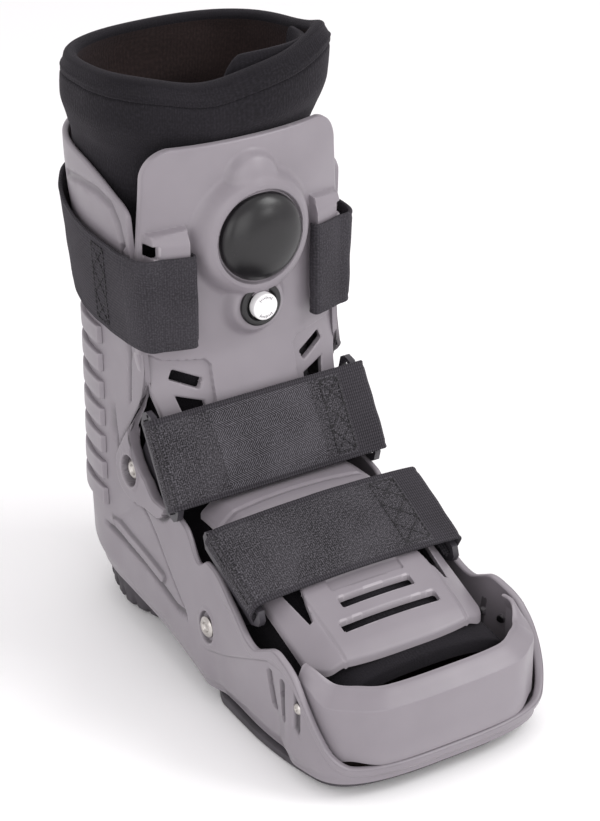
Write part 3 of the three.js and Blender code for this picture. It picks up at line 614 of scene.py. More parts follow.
def thicken(bm: bmesh.types.BMesh, offset: tuple[float, float, float]) -> None:
    """Gives an open sheet a wall by extruding it by an offset in millimetres.

    Args:
        bm: The sheet.
        offset: The way to the other face.
    """
    made = bmesh.ops.extrude_face_region(bm, geom=bm.faces[:], use_keep_orig=True)["geom"]
    verts = [item for item in made if isinstance(item, bmesh.types.BMVert)]
    bmesh.ops.translate(bm, verts=verts, vec=Vector(offset) / 1000)
    turn_out(bm)


def close_ends(bm: bmesh.types.BMesh) -> None:
    """Fills the open ends of a shape and turns its faces outwards.

    Args:
        bm: The mesh.
    """
    bmesh.ops.holes_fill(bm, edges=[e for e in bm.edges if e.is_boundary], sides=0)
    turn_out(bm)


def snap_to_holes(holes: Surface, a: Array, b: Array, reach: float) -> tuple[Array, Array, Array]:
    """Moves the points of a plane that lie near the rim of a hole onto it.

    Args:
        holes: Signed distance to the holes, negative inside.
        a: First coordinate of the points.
        b: Second coordinate of the points.
        reach: How near a rim a point is moved.

    Returns:
        The distances before the move, and both coordinates after it.
    """
    step = 0.05
    away = holes(a, b)
    slope_a = (holes(a + step, b) - holes(a - step, b)) / (2 * step)
    slope_b = (holes(a, b + step) - holes(a, b - step)) / (2 * step)
    snap = np.abs(away) < reach
    return away, np.where(snap, a - away * slope_a, a), np.where(snap, b - away * slope_b, b)


def cut_plate(bm: bmesh.types.BMesh, spots: Array, away: Array, wall: tuple[float, float, float]) -> None:
    """Places the vertices of a sheet, cuts its holes through and gives it a wall.

    Args:
        bm: The sheet, as a grid of vertices.
        spots: Their places in millimetres.
        away: Their distances to the holes.
        wall: The offset to the other face.
    """
    bm.verts.ensure_lookup_table()
    bm.verts.index_update()
    centres = [(f, np.mean([away[v.index] for v in f.verts])) for f in bm.faces]
    for vert, spot in zip(bm.verts, to_frame(spots)):
        vert.co = spot
    bmesh.ops.delete(bm, geom=[f for f, value in centres if value < -0.1], context="FACES")
    thicken(bm, wall)


def fillet(away: Array, radius: float) -> Array:
    """How far a face sinks within radius of an edge that is away millimetres off."""
    t = np.clip(1 - away / radius, 0, 1)
    return radius * (1 - np.sqrt(1 - 0.92 * t * t))


def finish_piece(
    name: str,
    bm: bmesh.types.BMesh,
    finishes: Sequence[Finish],
    replaces: Sequence[str] = (),
    body: str = "boot",
    flat: float = 40.0,
) -> bpy.types.Object:
    """Makes an object of a mesh, dresses it and ties it to the frame.

    Args:
        name: Name of the piece.
        bm: Its mesh, which is freed.
        finishes: A finish for each material number of the faces.
        replaces: CAD nodes that it stands for.
        body: The CAD body it moves with.
        flat: Angle in degrees above which an edge stays crisp.

    Returns:
        The object.
    """
    mesh = bpy.data.meshes.new(name)
    bm.to_mesh(mesh)
    bm.free()
    for finish in finishes:
        mesh.materials.append(material(finish))
    mesh.polygons.foreach_set("use_smooth", [True] * len(mesh.polygons))
    mesh.set_sharp_from_angle(angle=math.radians(flat))
    made = bpy.data.objects.new(name, mesh)
    bpy.context.scene.collection.objects.link(made)
    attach(made, body)
    if replaces:
        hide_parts(*replaces)
    LOG.info("%s: %d faces", name, len(mesh.polygons))
    return made


def lathe(bm: bmesh.types.BMesh, profile: Path, centre: Array, axis: Array, sides: int = 64) -> None:
    """Spins a profile of (radius, height) in millimetres about an axis through a centre in the design frame.

    Args:
        bm: The mesh.
        profile: Rows of radius and height.
        centre: A point of the axis.
        axis: Its direction.
        sides: Faces round it.
    """
    spot = Vector(to_frame(np.asarray(centre, dtype=float)))
    along = Vector(axis).normalized()
    side = along.orthogonal().normalized()
    verts = [bm.verts.new(spot + side * (r / 1000) + along * (h / 1000)) for r, h in profile]
    edges = [bm.edges.new(pair) for pair in zip(verts[:-1], verts[1:])]
    bmesh.ops.spin(
        bm, geom=verts + edges, cent=spot, axis=along, angle=2 * math.pi, steps=sides, use_merge=True
    )


def rounded(profile: Path, radius: float, parts: int = 4) -> list[tuple[float, float]]:
    """Rounds the corners between the ends of an open profile.

    Args:
        profile: Rows of radius and height.
        radius: Reach of a rounding.
        parts: Steps in a rounding.

    Returns:
        The profile with more rows.
    """
    out = [profile[0]]
    for before, corner, after in zip(profile[:-2], profile[1:-1], profile[2:]):
        a = Vector(before) - Vector(corner)
        b = Vector(after) - Vector(corner)
        reach = min(radius, a.length * 0.45, b.length * 0.45)
        p, q = Vector(corner) + a.normalized() * reach, Vector(corner) + b.normalized() * reach
        for k in range(parts + 1):
            t = k / parts
            out.append(tuple(p * (1 - t) ** 2 + Vector(corner) * 2 * t * (1 - t) + q * t * t))
    out.append(profile[-1])
    return out


# Shapes shared by the pieces


@dataclass(frozen=True)
class BootForm:
    """Outline of the rigid shell, in millimetres of the design frame."""

    length: float = 291.0
    width: float = 144.0
    leg_width: float = 122.0
    leg_back: float = 141.0
    leg_flare: float = 15.0
    toe_offset: float = 6.0
    height: float = 278.0
    wall: float = 3.2
    toe_rounding: float = 38.0
    leg_centre: float = 78.0
    toe_square: float = 3.2
    heel_square: float = 2.9
    toe_turn: float = 0.2
    heel_turn: float = 0.66

    @property
    def toe(self) -> float:
        """Foremost y of the sole."""
        return -self.length / 2

    @property
    def shoulder(self) -> float:
        """Where the rounding of the toe begins."""
        return self.toe + self.toe_rounding

    def place(self, y: Array) -> Array:
        """Share of the sole's length from the toe."""
        return (np.asarray(y, dtype=float) - self.toe) / self.length

    def side_half(self, y: Array, z: Array) -> Array:
        """Half-width of the outline between its round ends.

        Args:
            y: Places along the boot.
            z: Heights.

        Returns:
            The half-widths.
        """
        share = smooth_table([0, 0.13, 0.3, 0.5, 0.7, 1], [0.995, 1, 0.965, 0.905, 0.84, 0.8], self.place(y))
        leg = self.leg_width / 2 + ease(self.height * 0.6, self.height, z) * self.leg_flare * 0.35
        return mix(share * self.width / 2, leg, ease(self.height * 0.18, self.height * 0.42, z))

    def back_at(self, z: Array) -> Array:
        """Rearmost y at a height.

        Args:
            z: Heights.

        Returns:
            The places along the boot.
        """
        leg = self.leg_back + ease(self.height * 0.6, self.height, z) * self.leg_flare
        low = self.length / 2 - 3 * (1 - ease(self.height * 0.12, self.height * 0.28, z))
        return mix(low, leg, ease(self.height * 0.22, self.height * 0.42, z))

    def lean(self, y: Array) -> Array:
        """How far the toe box leans to the wearer's left."""
        return self.toe_offset * ease(0.3, 0.06, self.place(y))

    def turn_at(self, y: Array) -> Array:
        """The turn whose straight part passes a place along the boot."""
        share = (np.asarray(y, dtype=float) - self.shoulder) / (self.leg_centre - self.shoulder)
        return mix(self.toe_turn, self.heel_turn, share)

    def outline(self, turn: Array, z: Array, inset: Array) -> tuple[Array, Array]:
        """Points of the outline: turn 0 is the toe, 1 the heel, on to 2 on the wearer's right.

        Args:
            turn: Turns round the boot.
            z: Heights.
            inset: How far inside the outline.

        Returns:
            x and y.
        """
        turn, z, inset = np.broadcast_arrays(*[np.asarray(a, dtype=float) for a in (turn, z, inset)])
        side = np.where((turn > 1) | (turn < 0), -1.0, 1.0)
        t = np.where(turn > 1, 2 - turn, np.abs(turn))
        a1 = np.clip(t / self.toe_turn, 0, 1) * math.pi / 2
        y1 = self.shoulder - (self.toe_rounding - inset) * np.cos(a1).clip(0) ** (2 / self.toe_square)
        x1 = (self.side_half(y1, z) - inset) * np.sin(a1).clip(0) ** (2 / self.toe_square)
        a2 = np.clip((t - self.heel_turn) / (1 - self.heel_turn), 0, 1) * math.pi / 2
        depth = self.back_at(z) - inset - self.leg_centre
        y2 = self.leg_centre + depth * np.sin(a2).clip(0) ** (2 / self.heel_square)
        x2 = (self.side_half(self.leg_centre, z) - inset) * np.cos(a2).clip(0) ** (2 / self.heel_square)
        y3 = mix(self.shoulder, self.leg_centre, (t - self.toe_turn) / (self.heel_turn - self.toe_turn))
        x3 = self.side_half(y3, z) - inset
        toe, heel = t < self.toe_turn, t > self.heel_turn
        y = np.where(toe, y1, np.where(heel, y2, y3))
        x = np.where(toe, x1, np.where(heel, x2, x3))
        return side * x + self.lean(y), y

    def outline_half(self, y: Array, z: Array, inset: float) -> Array:
        """Half-width of the outline anywhere.

        Args:
            y: Places along the boot.
            z: Heights.
            inset: How far inside the outline.

        Returns:
            The half-widths.
        """
        half = self.side_half(y, z) - inset
        back = np.clip((y - self.leg_centre) / (self.back_at(z) - inset - self.leg_centre), 0, 1)
        front = np.clip((self.shoulder - y) / (self.toe_rounding - inset), 0, 1)
        rear = (1 - back**self.heel_square) ** (1 / self.heel_square)
        return half * rear * (1 - front**self.toe_square) ** (1 / self.toe_square)

    def edge(self, y: Array) -> Array:
        """Height of the shell's upper edge.

        Args:
            y: Places along the boot.

        Returns:
            The heights.
        """
        rows = [
            (0.0, 0.063), (0.026, 0.068), (0.046, 0.087), (0.072, 0.13), (0.104, 0.18), (0.135, 0.218),
            (0.165, 0.236), (0.194, 0.245), (0.225, 0.232), (0.246, 0.223), (0.33, 0.263), (0.415, 0.302),
            (0.434, 0.304), (0.462, 0.288), (0.52, 0.338), (0.56, 0.349), (0.614, 0.35), (0.645, 0.374),
            (0.664, 0.41), (0.676, 0.918), (0.69, 0.932), (0.72, 0.944), (0.84, 0.985), (1.0, 1.0),
        ]
        return smooth_table([r[0] for r in rows], [r[1] for r in rows], self.place(y)) * self.height

    def under(self, y: Array) -> Array:
        """Height of the shell's underside."""
        places = [0, 0.1, 0.19, 0.4, 0.5, 0.6, 0.74, 0.86, 0.94, 1]
        return smooth_table(places, [10, 7, 6.5, 8, 14, 19, 22, 26, 33, 44], self.place(y))

    def tread(self, y: Array) -> Array:
        """Height of the outsole's underside."""
        places = [0, 0.1, 0.19, 0.4, 0.74, 0.86, 0.94, 1]
        return smooth_table(places, [7, 1.5, 0, 0, 0, 5, 13, 28], self.place(y))


FORM = BootForm()


@dataclass(frozen=True)
class PanelForm:
    """Face of the shin panel, in millimetres of the design frame."""

    bottom: float = 127.0
    top: float = 291.0
    width: float = 125.0
    front: float = 34.0
    curve: float = 13.0
    wall: float = 3.0
    pump: float = 239.0
    valve: float = 200.0

    def face(self, x: Array, z: Array) -> Array:
        """y of the face.

        Args:
            x: Places across the panel.
            z: Heights.

        Returns:
            The places along the boot.
        """
        share = (np.asarray(z, dtype=float) - self.bottom) / (self.top - self.bottom)
        forward = smooth_table([0, 0.07, 0.15, 0.3, 1.0], [20, 11, 5, 0, 0], share)
        return self.front - forward + self.curve * (np.abs(x) / (self.width / 2)) ** 2.3

    def half(self, z: Array) -> Array:
        """Half-width at a height, rounded at the top corners.

        Args:
            z: Heights.

        Returns:
            The half-widths.
        """
        share = (np.asarray(z, dtype=float) - self.bottom) / (self.top - self.bottom)
        corner = 16.0
        near = np.clip(z - (self.top - corner), 0, corner)
        turn = corner - np.sqrt(np.maximum(0, corner**2 - near**2))
        waist = mix(1, 0.94, ease(0.5, 1, share)) * mix(0.87, 1, ease(0.05, 0.32, share))
        return self.width / 2 * waist - turn


PANEL = PanelForm()


# The rigid shell


@dataclass
class Shell:
    """The ribbed one-piece shell with its ankle wings, side mouldings and toe slots."""

    rim_radius: float = 1.6
    wing_rise: float = 3.0
    groove: float = 2.0
    crease_slope: float = 0.16
    low_rows: int = 50
    high_rows: int = 62
    rib_spread: float = 0.322
    rib_half: float = 5.3
    rib_rise: float = 2.4
    waist: float = 100.0
    under_shares: tuple[float, ...] = (1, 0.7, 0.4, 0.2, 0.08, 0.03)
    rib_count: int = 9
    rib_pitch: float = 16.5
    first_rib: float = 74.0
    wing: Path = (
        (40, 164), (46, 152), (58, 133), (66, 122), (73, 111), (75, 103), (72.5, 92),
        (64, 87), (56, 86), (42.5, 89), (27, 88), (20, 100), (40, 120), (44, 140),
    )
    crease: Path = ((-16, 60), (-20, 43), (-24, 36), (-41, 42), (-74, 57), (-84, 61))
    vee: Path = (
        (54, 86), (46, 82), (36, 74), (24, 63), (3, 47), (1, 44.5), (12, 43), (44, 49), (71, 52), (93, 55)
    )
    bar: Path = ((82, 61), (67.6, 58), (47, 55), (30, 52.5))
    uprights: tuple[Path, ...] = (
        ((80, 240), (80, 200), (80.5, 154), (79.4, 136), (78, 125), (75.5, 112)),
        ((59, 236), (59, 183), (60, 168), (61.4, 146)),
        ((125, 255), (119, 256.4), (102, 259.6), (82, 260.3), (67, 257), (60, 249), (57, 238)),
    )
    toe_slots: tuple[float, ...] = (-85.0, -97.0, -109.5)
    rivets: Path = ((59, 105), (-24, 50))

    def turns(self) -> Array:
        """The turns of the columns, once round and closed on the toe.

        Returns:
            The turns, from the toe round to the toe.
        """
        toe = FORM.toe_turn * np.linspace(0, 1, 40, endpoint=False)
        front = FORM.turn_at(np.linspace(46.0, 52.5, 22))
        side = np.linspace(FORM.toe_turn, FORM.heel_turn, 112, endpoint=False)
        side = side[(side < front[0] - 0.001) | (side > front[-1] + 0.001)]
        side = np.sort(np.concatenate([side, front]))
        heel = mix(FORM.heel_turn, 1, np.linspace(0, 1, 50))
        half = np.concatenate([toe, side, heel])
        return np.concatenate([half, (2 - half)[-2::-1]])

    def profile(self) -> Array:
        """Rows of the wall's section, from the underside over the rim to the floor inside.

        Returns:
            A row each of height, inset, lift and share of the way to the middle line. Height goes from 0 at
            the underside to 1 at the waist and 2 at the rim.
        """
        r = self.rim_radius
        rows = [(0, 0, 0, w) for w in self.under_shares]
        rows += [(s, 0, 0, 0) for s in np.linspace(0, 1, self.low_rows)]
        rows += [(s, 0, 0, 0) for s in np.linspace(1, 1.994, self.high_rows)[1:]]
        rows += [
            (2, r * (1 - math.cos(a)), r * math.sin(a) - r * 0.5, 0)
            for a in np.linspace(0.15, math.pi - 0.15, 7)
        ]
        rows += [(s, FORM.wall, 0, 0) for s in (1.97, 1.9, 1.7, 1.4, 1.15, 1.0, 0.8, 0.6, 0.4, 0.2, 0.05)]
        rows += [(0, FORM.wall, 3.8, w) for w in (0.0, 0.1, 0.4, 0.7, 1)]
        return np.array(rows)

    def under_crease(self, y: Array, z: Array) -> tuple[Array, Array]:
        """How far a place lies under the crease beside the foot, and how strong the crease is there, 0 to 1.

        Args:
            y: Places along the boot.
            z: Heights.

        Returns:
            The depths under the crease and its strength.
        """
        rows = self.crease[::-1][:-2]
        below = smooth_table([row[0] for row in rows], [row[1] for row in rows], y) - z
        return below, ease(-15, -30, y) * ease(-104, -84, y)

    def marks(self, x: Array, y: Array, z: Array) -> tuple[Array, Array, Array]:
        """Relief of the side walls, distance to the nearest detail, and painted shade in the grooves and
        holes, 0 to 1.

        Args:
            x: Places across the boot.
            y: Places along it.
            z: Heights.

        Returns:
            Relief, distance and painted shade.
        """
        # Every detail lies on the side walls. First the raised wing at the ankle, with a groove round it.
        side = ease(38, 46, np.abs(x - FORM.lean(y)))
        wing = region(y, z, soften(self.wing))
        relief = self.wing_rise * ease(0.7, -0.7, wing) - 1.1 * ease(3.0, 0.9, wing) * ease(-0.2, 0.9, wing)
        near = np.abs(wing)
        # Painted shade darkens the groove round the wing.
        hollow_shade = 0.7 * ease(2.0, 0.4, np.abs(wing - 0.9))
        # The V-shaped groove, its sunk field and the raised bar in it.
        vee = path_distance(y, z, self.vee)
        bar = path_distance(y, z, self.bar)
        inner = region(y, z, self.vee)
        relief = (
            relief - self.groove * ease(2.3, 0.6, vee) - 1.0 * ease(0, -1.6, inner)
            + 1.8 * ease(3.5, 2.1, bar)
        )
        near = np.minimum(near, np.minimum(vee, np.abs(bar - 2.6)))
        # Painted shade in the V groove and along the bar.
        hollow_shade = np.maximum(
            hollow_shade, np.maximum(0.6 * ease(1.9, 0.4, vee), 0.4 * ease(1.4, 0.3, np.abs(bar - 3.4)))
        )
        # The long grooves on the leg.
        for line, soft in zip(self.uprights, (1.0, 1.0, 1.7)):
            away = path_distance(y, z, line) / soft
            relief = relief - 1.7 * ease(2.1, 0.5, away)
            near = np.minimum(near, away)
            # Painted shade in the long grooves.
            hollow_shade = np.maximum(hollow_shade, 0.5 / soft * ease(1.7, 0.3, away))
        # The step under the crease beside the foot.
        below, fold = self.under_crease(y, z)
        relief = relief - fold * 1.0 * ease(-0.6, 0.8, below)
        crease = path_distance(y, z, self.crease)
        near = np.minimum(near, crease)
        # Painted shade along the step under the crease.
        hollow_shade = np.maximum(hollow_shade, 0.3 * fold * ease(1.0, 0.1, np.abs(below - 0.6)))
        # The sunk slots beside the toes, each with a hole.
        for slot in self.toe_slots:
            away = slab(y, z, (slot, 43.5), (2.4, 12.5), 0, 2.3)
            hole = np.hypot(y - slot, z - (46 if slot > -105 else 45))
            relief = relief - 2.4 * ease(0.5, -0.6, away) - 2.0 * ease(2.6, 2.0, hole)
            near = np.minimum(near, np.minimum(np.abs(away), np.abs(hole - 2.2)))
            # Painted shade fills the slots and makes the holes near black.
            hollow_shade = np.maximum(hollow_shade, np.maximum(0.62 * ease(0.1, -0.4, away), ease(2.4, 1.9, hole)))
        # The sunk seat of each rivet, with a low rim.
        for ry, rz in self.rivets:
            away = np.hypot((y - ry) / 0.92, (z - rz) / 1.08)
            relief = relief + 0.7 * ease(10.8, 9.6, away) * ease(8.0, 9.0, away)
            relief = mix(relief, -1.7, ease(8.4, 7.6, away))
            near = np.minimum(near, np.abs(away - 8.4))
            # Painted shade in a ring round each rivet's seat.
            hollow_shade = np.maximum(hollow_shade, 0.5 * ease(0.8, 0.1, np.abs(away - 7.9)))
        return relief * side, np.where(side > 0.01, near, 99.0), hollow_shade * side

    def base(self, u: Array, v: Array, extra: Array) -> Array:
        """A point of the section, for the turn u and the row number v, moved out by extra.

        Args:
            u: Turn round the boot, 0 at the toe and 1 at the heel.
            v: Row number of the section.
            extra: How far the point is moved out.

        Returns:
            The points.
        """
        rows = self.profile()
        n = numbers(rows)
        share, inset, lift, middle = (np.interp(v, n, rows[:, k]) for k in range(4))
        guide = FORM.outline(u, FORM.height * 0.3, 0)[1]
        low, high = FORM.under(guide), FORM.edge(guide)
        waist = np.minimum(high - 4, self.waist)
        z = np.where(share < 1, mix(low, waist, share), mix(waist, high, share - 1))
        # The front edges of the leg walls run in a soft S.
        sway = 10 * ease(100, 126, z) * ease(156, 130, z) - 5 * ease(138, 158, z) * ease(210, 165, z)
        sway = np.where((guide > 44) & (guide < FORM.leg_centre), sway * ease(FORM.leg_centre, 52, guide), 0)
        t = np.where(u > 1, 2 - u, u)
        swayed = FORM.turn_at(
            mix(FORM.shoulder, FORM.leg_centre, (t - FORM.toe_turn) / (FORM.heel_turn - FORM.toe_turn)) + sway
        )
        t = np.where(sway != 0, swayed, t)
        x, y = FORM.outline(np.where(u > 1, 2 - t, t), z, inset - extra)
        # The corner under the wall is rounded inwards.
        tuck = 5 * (1 - ease(0, 11, z - low))
        back = np.where(
            y > FORM.leg_centre, (y - FORM.leg_centre) / (FORM.length / 2 - FORM.leg_centre) * tuck, 0
        )
        front = np.where(y < FORM.shoulder, (FORM.shoulder - y) / FORM.toe_rounding * tuck * 0.2, 0)
        centre = FORM.lean(y)
        x = centre + (x - centre) * (1 - tuck / 90)
        y = y - back + front
        # The rows of the underside and the floor close on the middle line.
        x = mix(x, FORM.lean(np.clip(y, -118, 112)), middle)
        y = mix(y, np.clip(y, -118, 112), middle)
        return np.stack([x, y, z + lift], axis=1)

    def surface(self, u: Array, v: Array) -> Array:
        """A point of the finished wall.

        Args:
            u: Turn round the boot, 0 at the toe and 1 at the heel.
            v: Row number of the section.

        Returns:
            The points.
        """
        plain = self.base(u, v, np.zeros_like(u))
        relief = self.marks(*plain.T)[0]
        rows = self.profile()
        outside = np.interp(
            v, numbers(rows), ((rows[:, 1] < self.rim_radius * 1.2) & (rows[:, 3] == 0)) * 1.0
        )
        bead = 0.9 * ease(-5.5, -3.5, plain[:, 2] - FORM.edge(plain[:, 1])) * ease(-20, -60, plain[:, 1])
        below, fold = self.under_crease(plain[:, 1], plain[:, 2])
        sink = fold * np.clip(below, 0, 34) * self.crease_slope
        return self.base(u, v, (relief + bead) * outside - sink)

    def near(self, u: Array, v: Array) -> Array:
        """Whether a detail of the side walls is near a vertex of the grid.

        Args:
            u: Turn round the boot, 0 at the toe and 1 at the heel.
            v: Row number of the section.

        Returns:
            True where a detail is near.
        """
        first = len(self.under_shares)
        last = first - 1 + self.low_rows + self.high_rows
        plain = self.base(u, v, np.zeros_like(u))
        upper = (v >= first + self.low_rows) & (plain[:, 1] < 44)
        return (self.marks(*plain.T)[1] < 3.0) & (v >= first) & (v <= last) & ~upper

    def build(self) -> None:
        """Builds the wall and the ribs."""
        bm = bmesh.new()
        grid(bm, self.turns(), numbers(self.profile()))
        refine(bm, self.near)
        bm.verts.index_update()
        u, v = places(bm.verts)
        # The painted shade of the grooves and holes goes into a vertex attribute, on the outside rows only.
        painted_shade_layer = bm.verts.layers.float.new("painted_shade")
        plain = self.base(u, v, np.zeros_like(u))
        outside = v < len(self.under_shares) + self.low_rows + self.high_rows
        for vert, value in zip(bm.verts, self.marks(*plain.T)[2] * outside):
            vert[painted_shade_layer] = value
        place_grid(bm, bm.verts[:], self.surface)
        weld(bm, 2e-5)
        finish_piece("shell_wall", bm, [GREY], ["shell"], flat=50)
        self.build_ribs()

    def build_ribs(self) -> None:
        """The raised bands across the back."""
        bm = bmesh.new()
        section = np.array([
            (-1, -0.8), (-1, 0), (-1, 0.6), (-0.97, 0.86), (-0.9, 1), (-0.4, 1.04), (0.4, 1.04),
            (0.9, 1), (0.97, 0.86), (1, 0.6), (1, 0), (1, -0.8), (0, -0.8), (-1, -0.8),
        ])
        tips = np.array([0, 0.002, 0.005, 0.01])
        us = np.concatenate([tips, np.linspace(0.02, 0.98, 58), 1 - tips[::-1]])
        for i in range(self.rib_count):
            middle = self.first_rib + i * self.rib_pitch

            def band(u: Array, v: Array, middle: float = middle) -> Array:
                """A point of one band: u across the back, v round its section.

                Args:
                    u: Share of the way across.
                    v: Row number of the section.
                    middle: Height of the band.

                Returns:
                    The points.
                """
                up, out = (np.interp(v, numbers(section), section[:, k]) for k in range(2))
                end = ease(0, 0.006, u) * ease(1, 0.994, u)
                z = middle + up * self.rib_half * mix(0.94, 1, end)
                x, y = FORM.outline(
                    mix(1 - self.rib_spread, 1 + self.rib_spread, u), z,
                    -out * self.rib_rise * mix(0.1, 1, end),
                )
                return np.stack([x, y, z], axis=1)

            place_grid(bm, grid(bm, us, numbers(section)), band)
        weld(bm, 2e-5)
        finish_piece("shell_ribs", bm, [GREY], flat=35)


@dataclass
class Sole:
    """The outsole with its rocker, and the footbed."""

    def outsole(self) -> None:
        """A rubber slab with a grooved edge at the heel."""
        bm = bmesh.new()
        ys = FORM.toe + 4.6 + np.linspace(0.003, 0.985, 220) * (FORM.length - 18)

        def slab_point(u: Array, v: Array) -> Array:
            """A point of the slab: u is the row along it, v the share round its section.

            Args:
                u: Row along the sole.
                v: Share of the way round.

            Returns:
                The points.
            """
            y = np.interp(u, numbers(ys), ys)
            arch = 9 * ease(0.4, 0.5, FORM.place(y)) * ease(0.82, 0.7, FORM.place(y))
            low, high = FORM.tread(y), FORM.under(y) - 0.45
            angle = v * 2 * math.pi
            c, s = np.cos(angle), np.sin(angle)
            across, up = squared(c, 0.28), squared(s, 0.28)
            end = ease(0, 3, u) * ease(len(ys) - 1, len(ys) - 4, u) * 0.1 + 0.9
            wave = ease(0.2, 0.6, np.sin(y * 2 * math.pi / 9.0))
            tooth = 1.6 * wave * ease(0.1, -0.6, up) * ease(60, 70, y)
            half = (FORM.outline_half(y, 8, 4.5) - 3 - arch) * end - tooth
            rise = tooth * 0.8 * ease(-0.2, -0.8, up)
            return np.stack(
                [across * half + FORM.lean(y), y, (low + high) / 2 + up * (high - low) / 2 + rise], axis=1
            )

        place_grid(bm, grid(bm, numbers(ys), np.linspace(0, 1, 41)), slab_point)
        weld(bm)
        close_ends(bm)
        finish_piece("sole_tread", bm, [SOLE], ["outsole"])

    def footbed(self) -> None:
        """The knit-faced foam bed on the shell's floor."""
        bm = bmesh.new()
        ys = FORM.toe + 8 + np.linspace(0.004, 0.98, 90) * (FORM.length - 26)

        def bed(u: Array, v: Array) -> Array:
            """A point of the bed: u is the row along it, v the share round its section.

            Args:
                u: Row along the bed.
                v: Share of the way round.

            Returns:
                The points.
            """
            y = np.interp(u, numbers(ys), ys)
            low = FORM.under(y) + FORM.wall + 0.75
            angle = v * 2 * math.pi
            c, s = np.cos(angle), np.sin(angle)
            half = FORM.outline_half(y, 20, FORM.wall + 3) - 5
            x = squared(c, 0.3) * half + FORM.lean(y)
            return np.stack([x, y, low + 2.5 + squared(s, 0.5) * 2.4], axis=1)

        def flat(u: Array, v: Array) -> Array:
            """The cloth's own coordinates in millimetres."""
            return np.stack([u * 3.0, v * 240], axis=1)

        place_grid(bm, grid(bm, numbers(ys), np.linspace(0, 1, 33)), bed, flat)
        weld(bm)
        close_ends(bm)
        made = finish_piece("footbed_foam", bm, [KNIT], ["footbed"])


@dataclass
class ToeCap:
    """The low bent wall round the toes, with its chamfer and its tucked-in ends."""

    rim: float = 59.0
    chamfer: float = 8.0
    wall: float = 2.8
    gap: float = 0.35

    def point(self, u: Array, v: Array) -> Array:
        """A point of the closed section: v 0 to 1 goes up the outside, over the rim and down the inside.

        Args:
            u: Turn round the toe, less than 0 on the right.
            v: Share of the way round the section.

        Returns:
            The points.
        """
        t = np.abs(u)
        # The ends tuck in behind the shell's side walls and rise to an ear.
        tuck = ease(0.05, 0.115, t)
        y0 = FORM.outline(t, 20, 0)[1]
        ear = 7 * ease(FORM.shoulder - 20, FORM.shoulder, y0)
        low = mix(FORM.edge(FORM.toe) + self.gap + 0.9, FORM.under(y0) + FORM.wall + 9, tuck)
        top = self.rim + ear
        shoulder = top - self.chamfer
        slope = self.chamfer * (1 - ear / 10)
        keys = np.array([0, 0.02, 0.30, 0.36, 0.40, 0.46, 0.49, 0.51, 0.54, 0.60, 0.64, 0.7, 0.98, 1.0])
        rise = np.array([0.02, 0, 0.96, 1.0, 1.08, 1.9, 1.98, 1.98, 1.9, 1.08, 1.0, 0.96, 0, 0.02])
        out = np.array([0.5, 0, 0, 0.02, 0.12, 0.9, 1.02, 1.0, 0.9, 0.12, 0.02, 0, 0, 0.5])
        wall = np.array([0.6, 0, 0, 0, 0, 0, 0.3, 0.7, 1, 1, 1, 1, 1, 0.6])
        h = np.interp(v, keys, rise)
        z = np.where(h < 1, mix(low, shoulder, h), mix(shoulder, top, h - 1))
        inset = mix(0.9, FORM.wall + self.gap + 0.9, tuck) + np.interp(v, keys, wall) * self.wall
        x, y = FORM.outline(u, z, inset + np.interp(v, keys, out) * slope)
        return np.stack([x, y, z], axis=1)

    def build(self) -> None:
        """Builds the cap."""
        end = float(FORM.turn_at(FORM.shoulder + 4))
        bm = bmesh.new()
        us = np.linspace(-end, end, 181)
        vs = np.array([
            0, 0.02, 0.1, 0.2, 0.30, 0.33, 0.36, 0.38, 0.40, 0.43, 0.46, 0.475, 0.49, 0.51, 0.525, 0.54, 0.57,
            0.60, 0.62, 0.64, 0.7, 0.85, 0.98, 1.0,
        ])
        place_grid(bm, grid(bm, us, vs), self.point)
        bmesh.ops.remove_doubles(bm, verts=bm.verts[:], dist=1e-6)
        close_ends(bm)
        finish_piece("toe_guard", bm, [GREY], ["toe_cap"], flat=60)


# The shin panel, the pump and the valve


